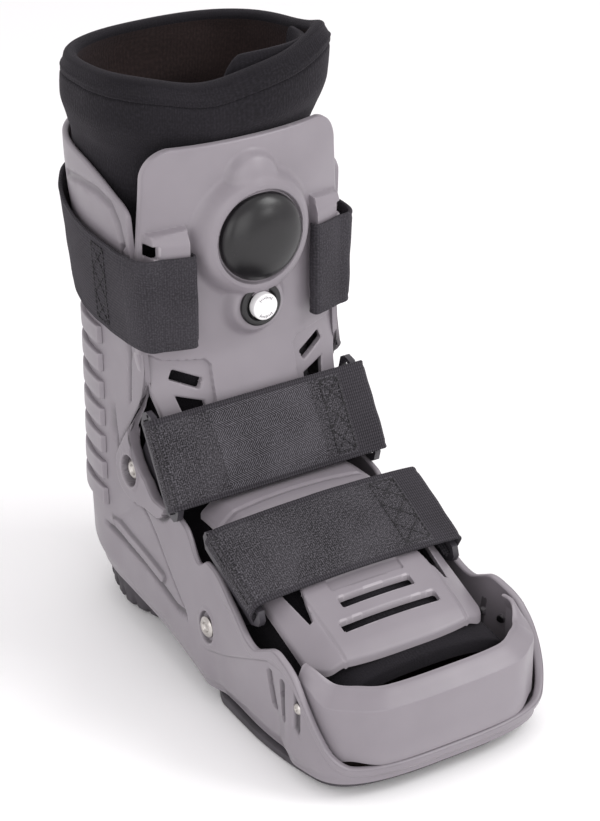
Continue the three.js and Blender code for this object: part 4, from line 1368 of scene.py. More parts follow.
@dataclass
class ShinPanel:
    """The front panel with the keyhole housing, the strap blocks, the side recesses and the vents."""

    block: tuple[float, float, float, float] = (38.5, 58.5, 191.0, 249.0)
    recess: Path = ((-26, 126), (-26, 168), (-29, 171.5), (-52, 174), (-58, 178), (-75, 178), (-75, 120))

    def vents(self, x: Array, z: Array) -> Array:
        """Signed distance to the vents and the keeper slots of both sides.

        Args:
            x: Places across the panel.
            z: Heights.

        Returns:
            The signed distances.
        """
        ax = -np.abs(x)
        upper = slab(ax, z, (-39.5, 161.5), (8.6, 3.0), -0.42, 1.2)
        lower = region(ax, z, ((-46.5, 153.5), (-31.5, 149), (-30, 128), (-40, 128)))
        keeper = slab(ax, z, (-57.2, 238.0), (2.2, 3.4), 0, 0.6)
        return np.minimum(np.minimum(upper, lower), keeper)

    def rise(self, x: Array, z: Array) -> Array:
        """Height of the relief over the panel's face.

        Args:
            x: Places across the panel.
            z: Heights.

        Returns:
            The heights of the relief.
        """
        ax = -np.abs(x)
        # The collar round the bulb, with the bulb's seat.
        r = np.hypot(x, z - PANEL.pump)
        collar = (
            9.3 * ease(38.5, 29.5, r) + 0.7 * ease(29.5, 28.3, r) * ease(25.4, 26.2, r)
            - 1.6 * ease(26.4, 25.2, r)
        )
        # The valve's housing, the dome above the bulb and the neck between, run together softly.
        rv = np.hypot(x, z - PANEL.valve)
        low = 7.0 * ease(21.0, 14.0, rv)
        rd = np.hypot(x + 1, z - PANEL.pump - 29.5)
        dome = 8.8 * np.sqrt(np.clip(1 - (rd / 18.0) ** 2, 0, 1)) * ease(18.5, 13, rd)
        neck = 5.2 * ease(17, 9, np.abs(x)) * ease(190, 200, z) * ease(240, 225, z)
        k = 0.8
        stack = np.stack([collar, low, dome, neck, np.zeros_like(x)])
        spare = math.log(5) / k * ease(9, 0, np.max(stack, axis=0))
        housing = np.log(np.sum(np.exp(stack * k), axis=0)) / k - spare
        # The blocks that carry the calf strap, and the sunk side fields.
        x0, x1, z0, z1 = self.block
        slope = z1 + (-ax - x0) * -0.12
        edge = np.maximum(np.maximum(x0 + ax, -ax - x1), np.maximum(z0 - z, z - slope))
        block = mix(7.0, 4.2, ease(z1 - 9, z1, z)) * ease(0.6, -0.9, edge)
        groove = region(ax, z, self.recess)
        recess = -2.1 * ease(0.4, -0.4, groove)
        border = np.minimum(PANEL.half(z) - np.abs(x), PANEL.top - z)
        return np.maximum(housing, block) + recess - fillet(border, 1.3) - fillet(self.vents(x, z), 0.8)

    def flat_point(self, u: Array, v: Array) -> tuple[Array, Array]:
        """x and z of a vertex of the grid."""
        z = mix(PANEL.bottom, PANEL.top, v)
        return (2 * u - 1) * PANEL.half(z - 0.2), z

    def near(self, u: Array, v: Array) -> Array:
        """Whether a detail is near a vertex of the grid.

        Args:
            u: Share of the width.
            v: Share of the height.

        Returns:
            True where a detail is near.
        """
        x, z = self.flat_point(u, v)
        ax = -np.abs(x)
        x0, x1, z0, z1 = self.block
        r = np.hypot(x, z - PANEL.pump)
        edge = np.abs(slab(-ax, z, ((x0 + x1) / 2, (z0 + z1) / 2), ((x1 - x0) / 2, (z1 - z0) / 2), 0, 0.5))
        vents = np.abs(self.vents(x, z))
        recess = np.abs(region(ax, z, self.recess))
        return (np.abs(r - 26) < 3) | (edge < 2.5) | (vents < 2) | (recess < 2)

    def build(self) -> None:
        """Builds the panel with its vents cut through."""
        bm = bmesh.new()
        vs = np.concatenate(
            [np.linspace(0, 0.92, 150, endpoint=False), 1 - 0.08 * np.linspace(1, 0, 26) ** 2]
        )
        lips = np.array([0.002, 0.005, 0.009])
        us = np.unique(np.concatenate([np.linspace(0, 1, 121), lips, 1 - lips]))
        grid(bm, us, vs)
        refine(bm, self.near, 1)
        x, z = self.flat_point(*places(bm.verts))
        away, x, z = snap_to_holes(self.vents, x, z, 0.42)
        spots = np.stack([x, PANEL.face(x, z) - self.rise(x, z), z], axis=1)
        cut_plate(bm, spots, away, (0, PANEL.wall, 0))
        finish_piece("shin_plate", bm, [GREY], ["shin_panel"], flat=45)


@dataclass
class Pump:
    """The bulb in its collar, and the release valve with its knob."""

    bulb_radius: float = 24.4
    bulb_rise: float = 14.5
    knob: float = 7.4

    def face(self, z: float, out: float = 0.0) -> tuple[float, float, float]:
        """A point in the middle of the panel's face at a height."""
        return (0.0, float(PANEL.face(0.0, z)) - out, z)

    def build(self) -> None:
        """Builds bulb, valve body, knob and the marks on it."""
        toward = (0, -1, 0)
        bm = bmesh.new()
        profile = [(0, 4.0), (self.bulb_radius, 4.0), (self.bulb_radius, 7.9)]
        for k in range(1, 25):
            a = k / 24 * math.pi / 2
            across = self.bulb_radius * math.cos(a) ** 0.92 if k < 24 else 0
            profile.append((across, 7.9 + self.bulb_rise * math.sin(a) ** 0.96 * 0.72))
        lathe(bm, profile, self.face(PANEL.pump), toward, 96)
        weld(bm)
        finish_piece("pump_dome", bm, [BULB], ["pump_bulb"])
        bm = bmesh.new()
        ring = rounded([(0, 1.0), (12.2, 1.0), (12.2, 8.6), (9.0, 8.9), (8.4, 7.2), (0, 7.2)], 0.9)
        lathe(bm, ring, self.face(PANEL.valve), toward, 64)
        weld(bm)
        finish_piece("valve_socket", bm, [ABS_BLACK], ["valve_body"], flat=50)
        bm = bmesh.new()
        disc = rounded([(0, 7.5), (self.knob, 7.5), (self.knob, 12.6), (0, 12.95)], 0.9)
        lathe(bm, disc, self.face(PANEL.valve), toward, 64)
        weld(bm)
        finish_piece("valve_dial", bm, [ABS_WHITE], ["valve_knob"], body="knob", flat=50)
        self.ticks()

    def ticks(self) -> None:
        """Plain dial marks near the knob's edge, nine in each of two arcs."""
        bm = bmesh.new()
        for k in range(9):
            for start in (math.radians(50), math.radians(230)):
                a = start + math.radians(80) * k / 8
                high = 0.95 if k % 4 else 1.7
                made = bmesh.ops.create_cube(bm, size=1.0)["verts"]
                for vert in made:
                    x = vert.co.x * 0.34
                    r = 5.4 + vert.co.z * high
                    y = vert.co.y * 0.16
                    across = r * math.cos(a) - x * math.sin(a)
                    up = r * math.sin(a) + x * math.cos(a)
                    spot = np.array([across, self.face(PANEL.valve, 12.72)[1] + y, PANEL.valve + up])
                    vert.co = to_frame(spot)
        turn_out(bm)
        finish_piece("valve_dial_marks", bm, [INK], body="knob")


@dataclass
class FootPlate:
    """The plate over the instep and the toes, with folded sides, slots, notches and a shallow recess."""

    width: float = 109.0
    length: float = 121.0
    wall: float = 3.0
    side_drop: float = 9.5
    fold_line: float = 38.5
    rows: tuple[tuple[float, float], ...] = (
        (-113, 64), (-104, 70), (-88, 77.5), (-68, 86), (-46, 95), (-24, 103), (-4, 105.5), (10, 105.5),
    )

    def middle(self, y: Array) -> Array:
        """Height of the middle line."""
        return smooth_table([r[0] for r in self.rows], [r[1] for r in self.rows], y)

    def holes(self, x: Array, y: Array) -> Array:
        """Signed distance to the two slots and the side notches.

        Args:
            x: Places across the plate.
            y: Places along it.

        Returns:
            The signed distances.
        """
        first = slab(x, y + 82.5, (0, 0), (22.5, 2.9), 0, 1.2)
        second = slab(x, y + 95.0, (0, 0), (30, 3.0), 0, 1.2)
        ax = np.abs(x)
        notch = region(ax, y, ((34.5, -60), (46.5, -60), (43.2, -85.5), (41.2, -85.5)))
        return np.minimum(np.minimum(first, second), notch)

    def recess(self, x: Array, y: Array) -> Array:
        """Signed distance to the shallow recess behind the slots."""
        return slab(x, y, (0, -71.5), (22.5, 3.6), 0, 1.4)

    def height(self, x: Array, y: Array) -> Array:
        """Height of the face, with its ridge, its fold lines and the recess.

        Args:
            x: Places across the plate.
            y: Places along it.

        Returns:
            The heights.
        """
        across = np.abs(x) / (self.width / 2)
        fold = np.maximum(0, across - 0.72) / 0.28
        z = self.middle(y) - 3 * across**2 - self.side_drop * fold**1.2
        line = np.abs(np.abs(x) - self.fold_line - (y + 80) * 0.02)
        z = z - 0.7 * ease(1.2, 0.2, line) * ease(-20, -45, y)
        ridge = np.abs(y + 12 + 0.0012 * x**2)
        z = z + 1.0 * ease(4.5, 1.5, ridge) - 0.8 * ease(1.6, 0.3, np.abs(ridge - 5.5))
        return z - 1.3 * ease(0.5, -0.5, self.recess(x, y)) - fillet(self.holes(x, y), 0.8)

    def flat_point(self, u: Array, v: Array) -> tuple[Array, Array]:
        """x and y of a vertex of the grid, with the front edge bowed back at its rounded corners.

        Args:
            u: Share of the width.
            v: Share of the length from the front.

        Returns:
            x and y.
        """
        x = (2 * u - 1) * self.width / 2
        across = np.abs(2 * u - 1)
        corner = 11 * (1 - np.sqrt(np.clip(1 - np.clip((across - 0.8) / 0.2, 0, 1) ** 2, 0, 1)))
        y = mix(self.rows[0][0] + 6 * across**2.6 + corner, self.rows[-1][0], v)
        return x * mix(1, 0.9, ease(0.3, 1, v)), y

    def near(self, u: Array, v: Array) -> Array:
        """Whether a detail is near a vertex of the grid.

        Args:
            u: Share of the width.
            v: Share of the length from the front.

        Returns:
            True where a detail is near.
        """
        x, y = self.flat_point(u, v)
        recess = np.abs(self.recess(x, y))
        line = np.abs(np.abs(x) - self.fold_line)
        return (np.abs(self.holes(x, y)) < 2) | (recess < 1.8) | (line < 2)

    def build(self) -> None:
        """Builds the plate."""
        bm = bmesh.new()
        edge = np.sin(np.linspace(-math.pi / 2, math.pi / 2, 31)) * 0.5 + 0.5
        us = np.unique(np.round(np.concatenate([np.linspace(0, 1, 111), edge]), 4))
        grid(bm, us, np.concatenate([[0, 0.002, 0.005, 0.009], np.linspace(0.014, 1, 124)]))
        refine(bm, self.near, 1)
        u, v = places(bm.verts)
        x, y = self.flat_point(u, v)
        away, x, y = snap_to_holes(self.holes, x, y, 0.38)
        border = np.minimum(np.minimum(u, 1 - u) * self.width, v * self.length)
        spots = np.stack([x, y, self.height(x, y) - fillet(border, 1.3)], axis=1)
        cut_plate(bm, spots, away, (0, 0, -self.wall))
        finish_piece("instep_plate", bm, [GREY], ["foot_plate"], flat=45)


# Soft goods


@dataclass
class Liner:
    """The foam liner: a padded tube round leg and foot with a rolled collar, an inner flap and a toe hem."""

    wall: float = 7.0
    sections: tuple[tuple[float, float, float, float, float], ...] = (
        (41, 324, 150, 319, 67.5), (36, 316, 151.5, 312, 69.5), (36, 302, 151, 301, 69),
        (40, 290, 148, 288, 65), (41, 279, 148, 280, 61.5), (39, 240, 145, 240, 59.5),
        (39, 200, 139, 200, 57), (38, 165, 136, 160, 56), (31, 142, 136, 122, 51.5),
        (19, 124, 137, 86, 50.5), (8, 98, 136, 62, 50), (-6, 97.5, 122, 43, 50),
        (-24, 96, 94, 35, 50.5), (-46, 90, 46, 31, 51.5), (-68, 81, -8, 24, 52),
        (-88, 72, -60, 18.5, 53), (-106, 63, -100, 17.5, 54), (-119, 57, -118, 18, 54),
    )

    def point(self, u: Array, v: Array, wall: Array) -> Array:
        """A point of the tube: u is the turn round it from the front, v the section's number.

        Args:
            u: Share of the way round, from the front.
            v: Section number.
            wall: How far inside the outer face.

        Returns:
            The points.
        """
        n = numbers(self.sections)
        fy, fz, by, bz, half = (smooth_table(n, [s[k] for s in self.sections], v) for k in range(5))
        angle = u * 2 * math.pi
        c, s = np.cos(angle), np.sin(angle)
        square = 2 / 2.5
        ry, rz = (fy - by) / 2, (fz - bz) / 2
        length = np.hypot(ry, rz)
        reach = (1 - wall / length) * squared(c, square)
        across = (half - wall) * squared(s, square)
        y = (fy + by) / 2 + ry * reach
        x = across + FORM.lean(y)
        z = (fz + bz) / 2 + rz * reach
        # The collar's lobe on the wearer's left and the dip beside it.
        top = ease(4.0, 0.5, v)
        lobe = np.exp(-(((x - 58) / 24) ** 2) - ((y - 52) / 28) ** 2) * top
        x = x + 2.5 * top + 3.0 * lobe
        dip = np.exp(-(((x + 18) / 27) ** 2) - ((y - 42) / 30) ** 2) * top
        z = z + 9.5 * lobe - 8.0 * dip
        y = y + 5.0 * dip
        return np.stack([x, y, z], axis=1)

    def surface(self, u: Array, v: Array) -> Array:
        """The tube's closed section: up the outside, over the rim and down the inside.

        Args:
            u: Share of the way round, from the front.
            v: Row number.

        Returns:
            The points.
        """
        last = len(self.sections) - 1.0
        rows = self.rows()
        depth = np.interp(v, numbers(rows), rows[:, 0])
        wall = np.interp(v, numbers(rows), rows[:, 1])
        lift = np.interp(v, numbers(rows), rows[:, 2])
        plain = self.point(u, np.clip(depth, 0, last), wall)
        outer = self.point(u, np.clip(depth, 0, last), np.zeros_like(wall))
        inward = self.point(u, np.clip(depth, 0, last), np.full_like(wall, 1.0)) - outer
        soft = waves(plain, 46, 5) * 0.9 + waves(plain, 19, 9) * 0.35
        hem = 0.6 * ease(1.6, 0.2, np.abs(depth - 0.62) * 9) - 1.0 * ease(0.9, 0.1, np.abs(depth - 1.05) * 9)
        piping = np.where(wall < 1, hem * ease(2.0, 1.0, depth), 0)
        plain = plain - inward * (soft * ease(0, 1.2, depth) * ease(last, last - 2, depth) + piping)[:, None]
        plain[:, 2] += lift
        return plain

    def rows(self) -> Array:
        """Rows of section number, wall and lift, once round the wall's own thickness.

        Returns:
            The rows.
        """
        last = len(self.sections) - 1.0
        r = self.wall / 2
        out = [
            (s, 0.0, 0.0) for s in np.concatenate([np.linspace(0.0, 2.0, 26), np.linspace(2.1, last, 100)])
        ][::-1]
        roll = [
            (0.0, r * (1 - math.cos(a)), r * math.sin(a) * 0.9) for a in np.linspace(0.2, math.pi - 0.2, 9)
        ]
        inside = [
            (s, self.wall, 0.0)
            for s in np.concatenate([np.linspace(0.0, 2.0, 10), np.linspace(2.3, last, 46)])
        ]
        return np.array(out + roll + inside)

    def build(self) -> None:
        """Builds the tube and the flap."""
        rows = self.rows()
        bm = bmesh.new()
        columns = 144
        verts = grid(bm, np.linspace(0, 1, columns + 1), numbers(rows))

        def flat(u: Array, v: Array) -> Array:
            """The cloth's own coordinates in millimetres.

            Args:
                u: Share of the way round.
                v: Row number.

            Returns:
                The coordinates.
            """
            depth = np.interp(v, numbers(rows), rows[:, 0])
            run = smooth_table([0, 4, 9, 17], [0, 42, 215, 400], depth)
            return np.stack([u * 380, run + rows[np.clip(v.astype(int), 0, len(rows) - 1), 1] * 30], axis=1)

        place_grid(bm, verts, self.surface, flat)
        inner = int(np.argmax(rows[:, 1] >= self.wall))
        bm.faces.ensure_lookup_table()
        for face in bm.faces:
            if face.index // columns > inner:
                face.material_index = 1
        weld(bm, 2e-6)
        bmesh.ops.bridge_loops(bm, edges=[e for e in bm.edges if e.is_boundary])
        turn_out(bm)
        made = finish_piece("liner_tube", bm, [LOOP, KNIT], ["liner"], flat=80)
        self.flap()

    def flap(self) -> None:
        """The overlapping end of the liner inside the collar, with a rounded edge."""
        bm = bmesh.new()

        def pad(u: Array, v: Array) -> Array:
            """A point of the flap: u along the rim, v round its section.

            Args:
                u: Share of the way along the rim.
                v: Share of the way round the section.

            Returns:
                The points.
            """
            angle = v * 2 * math.pi
            c, s = np.cos(angle), np.sin(angle)
            turn = mix(-0.015, 0.235, u)
            end = np.sqrt(np.clip(1 - np.clip((0.1 - u) / 0.1, 0, 1) ** 2, 0, 1))
            high = 319 + 9 * ease(0.0, 0.08, u) - 2 * ease(0.5, 1, u)
            low = 262.0
            z = mix(low, high, 0.5 + 0.5 * squared(s, 0.35) * mix(0.55, 1, end))
            fold = 3.2 * squared(c, 0.7) * mix(0.2, 1, end)
            base = self.point(turn, np.full_like(u, 1.5), mix(17.0, 12.8, ease(0, 0.5, u)) - fold)
            base[:, 2] = z + 1.2 * np.sin(u * 5)
            return base

        def flat(u: Array, v: Array) -> Array:
            """The cloth's own coordinates in millimetres."""
            return np.stack([u * 70, v * 120], axis=1)

        place_grid(bm, grid(bm, np.linspace(0, 1, 50), np.linspace(0, 1, 49)), pad, flat)
        weld(bm)
        close_ends(bm)
        made = finish_piece("liner_flap", bm, [LOOP], flat=80)


STITCH_LIFT = 1.35


@dataclass
class Ribbon:
    """A strap as a centre line with the direction across it, both as arrays in the design frame."""

    line: Array
    across: Array
    width: float = 50.0
    thick: float = 2.2

    def __post_init__(self) -> None:
        """Works out lengths and the direction out of the strap's face."""
        ahead = np.gradient(self.line, axis=0)
        ahead /= np.linalg.norm(ahead, axis=1, keepdims=True)
        self.out = np.cross(ahead, self.across)
        self.out /= np.linalg.norm(self.out, axis=1, keepdims=True)
        self.run = np.concatenate([[0], np.cumsum(np.linalg.norm(np.diff(self.line, axis=0), axis=1))])

    def at(self, run: Array, h: Array, lift: Array) -> Array:
        """Points at a run along the strap, h across it and lift out of its middle, all in mm.

        Args:
            run: Lengths along the strap.
            h: Distances across it.
            lift: Distances out of its middle.

        Returns:
            The points.
        """
        run = np.asarray(run, dtype=float)
        parts = [
            np.stack([np.interp(run, self.run, a[:, k]) for k in range(3)], axis=1)
            for a in (self.line, self.across, self.out)
        ]
        return parts[0] + parts[1] * np.asarray(h)[:, None] + parts[2] * np.asarray(lift)[:, None]

    def mesh(self, bm: bmesh.types.BMesh, start: float, end: float, lift: float = 0.0, seed: int = 1) -> None:
        """Adds the strap between two runs as a closed band with rounded edges and a soft, uneven face.

        Args:
            bm: The mesh.
            start: Run where the strap starts.
            end: Run where it ends.
            lift: How far it lies out of its middle.
            seed: Seed of its unevenness.
        """
        step = 1.2
        lead = np.array([0, 0.3, 0.9])
        runs = np.concatenate([start + lead, np.arange(start + 1.8, end - 1.8, step), (end - lead)[::-1]])
        half, t = self.width / 2, self.thick / 2
        face_rows = 26
        flat_rows = np.linspace(-half + t, half - t, face_rows)
        arc = np.linspace(-math.pi / 2, math.pi / 2, 6)
        bow = half - t + t * np.cos(arc[::-1])[1:-1]
        hs = np.concatenate([flat_rows, bow, flat_rows[::-1], -bow, flat_rows[:1]])
        face, side = np.full(face_rows, t), t * np.sin(arc)[1:-1]
        ls = np.concatenate([face, side[::-1], -face, side, [t]])
        sew = np.minimum(1, np.concatenate([[0.35, 0.75, 0.95], np.ones(len(runs) - 6), [0.95, 0.75, 0.35]]))

        def point(u: Array, v: Array) -> Array:
            """A point of the band for row numbers along and round it.

            Args:
                u: Row number along the band.
                v: Row number round it.

            Returns:
                The points.
            """
            i = np.clip(np.round(u).astype(int), 0, len(runs) - 1)
            j = np.clip(np.round(v).astype(int), 0, len(hs) - 1)
            spot = self.at(runs[i], hs[j], ls[j] * sew[i] + lift)
            push = 0.28 * waves(spot, 17, seed) * (ls[j] > 0)
            across = np.abs(hs[j])
            groove = ease(half - 4.5, half - 3.2, across) * ease(half - 0.8, half - 2.2, across)
            selvedge = 0.35 * groove * (ls[j] > 0)
            return self.at(runs[i], hs[j], ls[j] * sew[i] + lift + push - selvedge)

        def flat(u: Array, v: Array) -> Array:
            """The cloth's own coordinates in millimetres, with the back apart from the face.

            Args:
                u: Row number along the band.
                v: Row number round it.

            Returns:
                The coordinates.
            """
            i = np.clip(np.round(u).astype(int), 0, len(runs) - 1)
            j = np.clip(np.round(v).astype(int), 0, len(hs) - 1)
            return np.stack([runs[i], hs[j] + np.where(ls[j] < 0, 100.0, 0.0)], axis=1)

        verts = grid(bm, numbers(runs), numbers(hs))
        place_grid(bm, verts, point, flat)

    def stitches(self, bm: bmesh.types.BMesh, paths: Sequence[Path], lift: float, pitch: float = 3.4) -> None:
        """Adds thread stitches of 20 faces each along paths of (run, h) on the strap's face.

        Args:
            bm: The mesh.
            paths: Seams as corners of run and h.
            lift: Height of the thread.
            pitch: Length of a stitch.
        """
        for path in paths:
            for (r0, h0), (r1, h1) in zip(path[:-1], path[1:]):
                count = max(1, round(math.hypot(r1 - r0, h1 - h0) / pitch))
                for k in range(count):
                    t0, t1 = (k + 0.1) / count, (k + 0.9) / count
                    ends = self.at(
                        np.array([mix(r0, r1, t0), mix(r0, r1, t1)]),
                        np.array([mix(h0, h1, t0), mix(h0, h1, t1)]), np.full(2, lift),
                    )
                    a, b = (Vector(p) for p in to_frame(ends))
                    made = bmesh.ops.create_icosphere(bm, subdivisions=1, radius=1.0)["verts"]
                    turn = (b - a).to_track_quat("Z", "Y").to_matrix()
                    size = (0.00042, 0.00042, (b - a).length * 0.55)
                    for vert in made:
                        local = Vector((vert.co.x * size[0], vert.co.y * size[1], vert.co.z * size[2]))
                        vert.co = turn @ local + (a + b) / 2


def cross_box(r0: float, r1: float, h0: float, h1: float, crosses: int) -> list[list[tuple[float, float]]]:
    """A sewn rectangle with a row of crosses inside it.

    Args:
        r0: Run where the rectangle starts.
        r1: Run where it ends.
        h0: Its lower edge.
        h1: Its upper edge.
        crosses: How many crosses.

    Returns:
        The paths of the seam.
    """
    paths = [[(r0, h0), (r1, h0), (r1, h1), (r0, h1), (r0, h0)]]
    for k in range(crosses):
        a, b = mix(h0, h1, k / crosses), mix(h0, h1, (k + 1) / crosses)
        paths += [[(r0, a), (r1, b)], [(r0, b), (r1, a)]]
    return paths


@dataclass
class Hold:
    """One strap over the foot with its two rings and rivets, in millimetres of the design frame."""

    name: str
    y: float
    z: float
    along: float
    up: float
    bulge: float
    bar: float
    arm: float
    rivet_y: float
    rivet_z: float
    box: tuple[float, float]
    twill: tuple[float, float]
    ring_bar: float = 3.6
    strap_width: float = 50.0
    thick: float = 2.2
    frame: float = 4.0
    depth: float = 14.0
    fold: float = 5.0

    def point(self, x: Array, h: Array, s: Array) -> Array:
        """A point beside the boot: across it, along the ring's bar and out from the strap.

        Args:
            x: Distance across the boot.
            h: Distance along the ring's bar.
            s: Distance out from the strap.

        Returns:
            The points.
        """
        x, h, s = np.broadcast_arrays(*[np.asarray(a, dtype=float) for a in (x, h, s)])
        lean = float(FORM.lean(self.y)) * 0.5
        return np.stack(
            [x + lean, self.y + h * self.along - s * self.up, self.z + h * self.up + s * self.along], axis=-1
        )

    def ribbon(self) -> Ribbon:
        """The strap's centre line: bulged over the plate and turned back round the bars of the rings.

        Returns:
            The strap.
        """
        reach = self.ring_bar / 2 * 1.3 + 0.35 + self.thick / 2
        xs = np.linspace(-1, 1, 90) * self.bar
        drop = reach - self.ring_bar / 2
        top = np.stack([xs, drop * (xs / self.bar) ** 2 + self.bulge * (1 - (xs / self.bar) ** 2)], axis=1)
        low = top[-1, 1] - reach
        angles = math.pi / 2 - np.linspace(0, 1, 19)[1:] * math.pi
        sink = np.where(angles > 0, 0.0, self.fold) - self.fold * 0.5 * (np.abs(angles) < 1e-6)
        turn = np.stack([self.bar + reach * np.cos(angles), low - sink + reach * np.sin(angles)], axis=1)
        tail = np.array([[self.bar - k, low - self.fold - reach] for k in (1.5, 3, 4)])
        right = np.concatenate([turn, tail])
        left = right[::-1] * np.array([-1, 1])
        path = np.concatenate([left, top, right])
        line = self.point(path[:, 0], 0, path[:, 1])
        across = np.tile([0, self.along, self.up], (len(line), 1))
        return Ribbon(line, across, width=self.strap_width, thick=self.thick)

    def build(self) -> None:
        """Builds strap, stitches, rings and rivets."""
        strap = self.ribbon()
        total = strap.run[-1]
        bm = bmesh.new()
        strap.mesh(bm, 0, total, seed=int(self.y) % 7 + 3)
        layer = bm.loops.layers.uv["cloth"]
        selvedge = self.strap_width / 2 - 3.4
        for face in bm.faces:
            run = sum(loop[layer].uv.x for loop in face.loops) / len(face.loops) * 1000 / total
            h = sum(loop[layer].uv.y for loop in face.loops) / len(face.loops) * 1000
            twill = self.twill[0] < run < self.twill[1] and abs(h) < selvedge - 0.1
            plain = run > self.box[1] / total + 0.005 or abs(h) > selvedge
            face.material_index = 1 if twill else 2 if plain else 0
        weld(bm)
        close_ends(bm)
        finish_piece(
            self.name + "_webbing", bm, [STRAP_LOOP, STRAP_TWILL, STRAP_PLAIN],
            [self.name + "_strap"], flat=70,
        )
        bm = bmesh.new()
        strap.stitches(bm, cross_box(self.box[0], self.box[1], -20, 20, 3), STITCH_LIFT)
        strap.stitches(bm, [[(14, -21), (14, 21)], [(17.5, -21), (17.5, 21)]], STITCH_LIFT)
        turn_out(bm)
        finish_piece(self.name + "_stitching", bm, [THREAD])
        for side, word in SIDES:
            self.ring(side, word)
            self.rivet(side, word)

    def ring(self, side: int, word: str) -> None:
        """A lever ring: a frame with a slot for the strap and a bent arm to the rivet.

        Args:
            side: 1 on the wearer's left, -1 on the right.
            word: The side in words.
        """
        half = self.strap_width / 2 + 1
        wide = half + self.frame
        dy, dz = self.rivet_y - self.y, self.rivet_z - self.z
        eye_h = dy * self.along + dz * self.up
        eye_s = -dy * self.up + dz * self.along
        rear = -self.depth - 2
        start = rear - 7
        share = (rear - start) / (rear - eye_s - 3)
        eye = 7.0
        start_half = mix(wide - 5, eye, share)
        top = -3.2
        outline = [(-wide + 4, top), (-wide, top - 4), (-wide, 3 - self.depth), (-wide + 5, rear)]
        outline += [(-start_half + eye_h * share, start), (eye_h - eye, eye_s + 3)]
        outline += [
            (eye_h + eye * math.cos(a), eye_s + eye * math.sin(a))
            for a in np.linspace(math.pi * 1.1, math.pi * 1.9, 9)
        ]
        outline += [(eye_h + eye, eye_s + 3), (start_half + eye_h * share, start)]
        outline += [(wide - 5, rear), (wide, 3 - self.depth), (wide, top - 4), (wide - 4, top)]
        slot = [(-half, top - 3), (half, top - 3), (half, top - 9.5), (-half, top - 9.5)]
        peep = [
            (wide - 2.6 + 1.1 * math.cos(a), 0.5 - self.depth / 2 + 1.1 * math.sin(a))
            for a in np.linspace(0, 2 * math.pi, 12, endpoint=False)
        ]
        bm = bmesh.new()
        loops = []
        for shape in (outline, slot, peep):
            verts = [bm.verts.new((h, s, 0)) for h, s in shape]
            loops += [bm.edges.new((a, b)) for a, b in zip(verts, verts[1:] + verts[:1])]
        bmesh.ops.triangle_fill(bm, edges=loops, use_beauty=True, use_dissolve=False)
        for level in (rear, start):
            bmesh.ops.bisect_plane(
                bm, geom=bm.verts[:] + bm.edges[:] + bm.faces[:], plane_co=(0, level, 0), plane_no=(0, 1, 0)
            )
        faces = bmesh.ops.extrude_face_region(bm, geom=bm.faces[:])
        for item in faces["geom"]:
            if isinstance(item, bmesh.types.BMVert):
                item.co.z = self.ring_bar
        turn_out(bm)
        sharp = [e for e in bm.edges if e.calc_face_angle(0) > 0.9]
        bmesh.ops.bevel(
            bm, geom=sharp, offset=0.8, segments=3, profile=0.5, affect="EDGES", material=-1,
            clamp_overlap=True,
        )
        for vert in bm.verts:
            h, s, lift = vert.co
            bend = float(ease(rear, start, s))
            x = mix(self.bar, self.arm, bend) + lift - self.ring_bar / 2
            vert.co = to_frame(self.point(side * x, h, s))
        turn_out(bm)
        finish_piece(
            f"{self.name}_lever_{word}", bm, [NYLON], [f"{self.name}_ring_{word}"], flat=45
        )

    def rivet(self, side: int, word: str) -> None:
        """A tubular rivet: a domed flange, a rolled hollow middle and its shank.

        Args:
            side: 1 on the wearer's left, -1 on the right.
            word: The side in words.
        """
        out = float(FORM.side_half(self.rivet_y, self.rivet_z))
        base = -0.9 + 0.35
        end = self.arm - self.ring_bar / 2 + 0.5 - out
        raw = [
            (0, end), (2.4, end), (2.4, base), (5.8, base), (5.9, base + 0.7), (4.4, base + 1.9),
            (3.0, base + 1.9), (2.2, base + 0.5), (0, base + 0.3),
        ]
        bm = bmesh.new()
        lathe(bm, rounded(raw, 0.6), (side * out, self.rivet_y, self.rivet_z), (side, 0, 0), 48)
        weld(bm)
        finish_piece(
            f"{self.name}_tube_rivet_{word}", bm, [STEEL], [f"{self.name}_rivet_{word}"], flat=60
        )


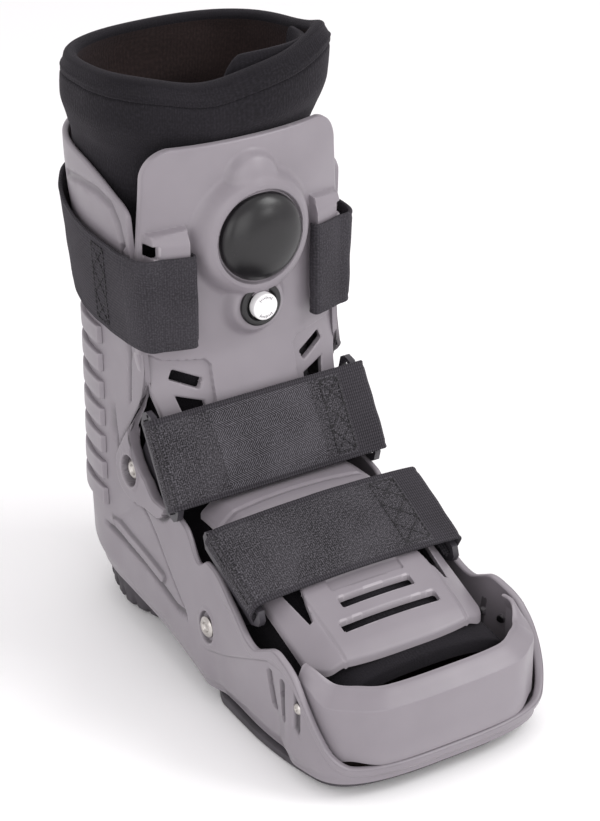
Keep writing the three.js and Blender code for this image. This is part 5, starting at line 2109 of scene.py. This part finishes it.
@dataclass
class CalfStrap:
    """The strap from one block of the shin panel round the back of the shell to the other."""

    width: float = 52.0
    thick: float = 2.2
    block_inner: float = 38.5
    block_rise: float = 7.0
    rib: float = 2.0
    flank: float = 62.0
    soft_end: float = 46.0

    def line_at(self, u: Array, h: float) -> Array:
        """Points of a line along the strap, h above its middle.

        Args:
            u: From -2 at the wearer's right end to 2 at the left one, 0 at the back.
            h: Height over the middle in millimetres.

        Returns:
            The points.
        """
        clear = self.thick / 2 + 0.35 + self.rib + 0.3
        s = np.abs(u)
        side = np.where(u < 0, -1.0, 1.0)
        rise = 17 * ease(1, 0.3, s)
        z = PANEL.top - 82 + rise + h
        leave = float(FORM.turn_at(self.flank))
        x1, y1 = FORM.outline(mix(1.0, leave, np.clip(s, 0, 1)), z, -clear)
        x0, y0 = FORM.outline(np.full_like(u, leave), z, -clear)
        edge = PANEL.width / 2 - 7
        lift = self.block_rise + self.thick / 2 + 0.55
        t = s - 1
        k = np.clip(t / 0.4, 0, 1)
        to_y = PANEL.face(edge, z) - lift
        x2 = mix(edge, x0, np.cos(k * math.pi / 2).clip(0) ** 0.5)
        y2 = mix(y0, to_y, np.sin(k * math.pi / 2).clip(0) ** 0.7)
        x3 = mix(edge, self.block_inner, np.clip((t - 0.4) / 0.6, 0, 1))
        y3 = PANEL.face(x3, z) - lift
        x = np.where(s <= 1, x1, np.where(t <= 0.4, x2, x3))
        y = np.where(s <= 1, y1, np.where(t <= 0.4, y2, y3))
        return np.stack([side * np.abs(x), y, z], axis=1)

    def folded(self, h: float) -> Array:
        """A line along the strap with its ends folded over the inner edges of the blocks, made smooth.

        Args:
            h: Height over the middle in millimetres.

        Returns:
            The points.
        """
        line = self.line_at(np.linspace(-2, 2, 260), h)
        z = line[0, 2]
        bend = 1.8
        tail = []
        for a in np.linspace(0, math.pi / 2, 7)[1:]:
            tail.append([self.block_inner - bend * math.sin(a), line[-1, 1] + bend * (1 - math.cos(a)), z])
        for k in (1.2, 2.4, 3.6):
            tail.append([self.block_inner - bend, line[-1, 1] + bend + k, z])
        right = np.array(tail)
        line = np.concatenate([right[::-1] * np.array([-1, 1, 1]), line, right])
        kernel = np.array([1, 2, 3, 2, 1]) / 9
        padded = np.pad(line, ((2, 2), (0, 0)), mode="edge")
        return np.stack([np.convolve(padded[:, k], kernel, mode="valid") for k in range(3)], axis=1)

    def ribbon(self) -> Ribbon:
        """The strap, lying against the flare of the shell.

        Returns:
            The strap.
        """
        low, line, high = (self.folded(h) for h in (-self.width / 2, 0.0, self.width / 2))
        runs = np.concatenate([[0], np.cumsum(np.linalg.norm(np.diff(line, axis=0), axis=1))])
        even = np.linspace(0, runs[-1], 420)
        low, high = (
            np.stack([np.interp(even, runs, edge[:, k]) for k in range(3)], axis=1) for edge in (low, high)
        )
        across = (high - low) / np.linalg.norm(high - low, axis=1, keepdims=True)
        return Ribbon((low + high) / 2, across, width=self.width, thick=self.thick)

    def build(self) -> None:
        """Builds the strap, its hems and its sewn box."""
        strap = self.ribbon()
        strap.out *= -1 if strap.out[len(strap.out) // 2][1] < 0 else 1
        total = strap.run[-1]
        bm = bmesh.new()
        strap.mesh(bm, 0, total, seed=11)
        layer = bm.loops.layers.uv["cloth"]
        for face in bm.faces:
            run = sum(loop[layer].uv.x for loop in face.loops) / len(face.loops) * 1000
            face.material_index = 0 if run < self.soft_end or run > total - self.soft_end else 1
        weld(bm)
        close_ends(bm)
        finish_piece("calf_webbing", bm, [STRAP_SOFT, STRAP_PLAIN], ["calf_strap"], flat=70)
        bm = bmesh.new()
        for start, end in ((66, 78), (total - 78, total - 66)):
            strap.stitches(bm, cross_box(start, end, -22, 22, 3), STITCH_LIFT)
        turn_out(bm)
        finish_piece("calf_stitching", bm, [THREAD])


@dataclass
class ToeScrews:
    """The screw in the foremost hole of each side wall beside the toes."""

    y: float = -109.5
    z: float = 45.0

    def build(self) -> None:
        """Builds both screws, each head with a round hollow."""
        for side, word in SIDES:
            out = float(FORM.side_half(self.y, self.z)) - 1.4
            centre = (side * out + float(FORM.lean(self.y)), self.y, self.z)
            bm = bmesh.new()
            profile = [
                (0, -1.4), (1.8, -1.4), (1.8, 0.2), (3.1, 0.2), (3.1, 0.8), (2.2, 1.6), (0.9, 1.7),
                (0.7, 0.9), (0, 0.9),
            ]
            lathe(bm, rounded(profile, 0.3), centre, (side, 0, 0), 32)
            weld(bm)
            finish_piece("toe_pin_" + word, bm, [STEEL], ["toe_screw_" + word], flat=60)


# The studio


@dataclass
class Studio:
    """A pale floor, soft light and the camera at the photograph's angle."""

    target: tuple[float, float, float] = (-0.00479, -0.01776, 0.153)
    eye: tuple[float, float, float] = (-0.6936, -1.0629, 0.7807)
    lens: float = 117.4
    aim: tuple[float, float, float] = (0.0, 0.0, 0.12)

    def camera(self) -> None:
        """The camera, 1.4 m from the boot."""
        data = bpy.data.cameras.new("camera")
        data.lens = self.lens
        data.clip_start = 0.05
        data.clip_end = 50
        made = bpy.data.objects.new("camera", data)
        made.location = self.eye
        made.rotation_euler = (Vector(self.target) - Vector(self.eye)).to_track_quat("-Z", "Y").to_euler()
        bpy.context.scene.collection.objects.link(made)
        bpy.context.scene.camera = made

    def area(self, name: str, spot: tuple[float, float, float], size: float, power: float) -> None:
        """A square soft light aimed at the boot.

        Args:
            name: Name of the lamp.
            spot: Its place in metres.
            size: Its side in metres.
            power: Its power in watts.
        """
        data = bpy.data.lights.new(name, "AREA")
        data.size = size
        data.energy = power
        made = bpy.data.objects.new(name, data)
        made.location = spot
        made.rotation_euler = (Vector(self.aim) - Vector(spot)).to_track_quat("-Z", "Y").to_euler()
        bpy.context.scene.collection.objects.link(made)

    def build(self) -> None:
        """Floor, lights, world and colour management."""
        floor_material = bpy.data.materials.new("Matt paper floor")
        floor_material.use_nodes = True
        shader = floor_material.node_tree.nodes["Principled BSDF"]
        shader.inputs["Base Color"].default_value = srgb("#FFFFFF")
        shader.inputs["Roughness"].default_value = 0.9
        bm = bmesh.new()
        bmesh.ops.create_grid(bm, x_segments=1, y_segments=1, size=12)
        mesh = bpy.data.meshes.new("floor")
        bm.to_mesh(mesh)
        bm.free()
        mesh.materials.append(floor_material)
        floor = bpy.data.objects.new("floor", mesh)
        bpy.context.scene.collection.objects.link(floor)
        world = bpy.data.worlds.new("soft studio")
        world.use_nodes = True
        world.node_tree.nodes["Background"].inputs["Color"].default_value = srgb("#FBF8FA")
        world.node_tree.nodes["Background"].inputs["Strength"].default_value = 0.86
        bpy.context.scene.world = world
        self.area("key", (1.0, -0.9, 1.35), 0.8, 11)
        self.area("front", (-0.6, -1.9, 0.8), 1.4, 9)
        self.area("left", (-1.6, -0.5, 0.7), 1.1, 5)
        self.area("top", (0.0, 0.35, 1.9), 0.8, 3)
        # A small lamp to the right of the camera gives the bulb its highlight.
        self.area("glint", (0.7, -1.2, 0.62), 0.22, 1.3)
        bpy.context.scene.view_settings.view_transform = "Standard"
        self.camera()


def main() -> None:
    """Builds the boot piece by piece."""
    logging.basicConfig(level=logging.INFO, format="%(name)s %(message)s")
    Studio().build()
    Shell().build()
    Sole().outsole()
    Sole().footbed()
    ToeCap().build()
    ShinPanel().build()
    Pump().build()
    FootPlate().build()
    Liner().build()
    CalfStrap().build()
    Hold(
        name="ankle", y=17, z=127, along=0.499, up=0.867, bulge=5, bar=63, arm=54.4,
        rivet_y=59, rivet_z=105, box=(118, 130), twill=(0.3, 0.66),
    ).build()
    Hold(
        name="foot", y=-46.3, z=94.4, along=0.884, up=0.467, bulge=6, bar=61, arm=56.8,
        rivet_y=-24, rivet_z=50, box=(112, 128), twill=(2, 3),
    ).build()
    ToeScrews().build()


if __name__ == "__main__":
    main()
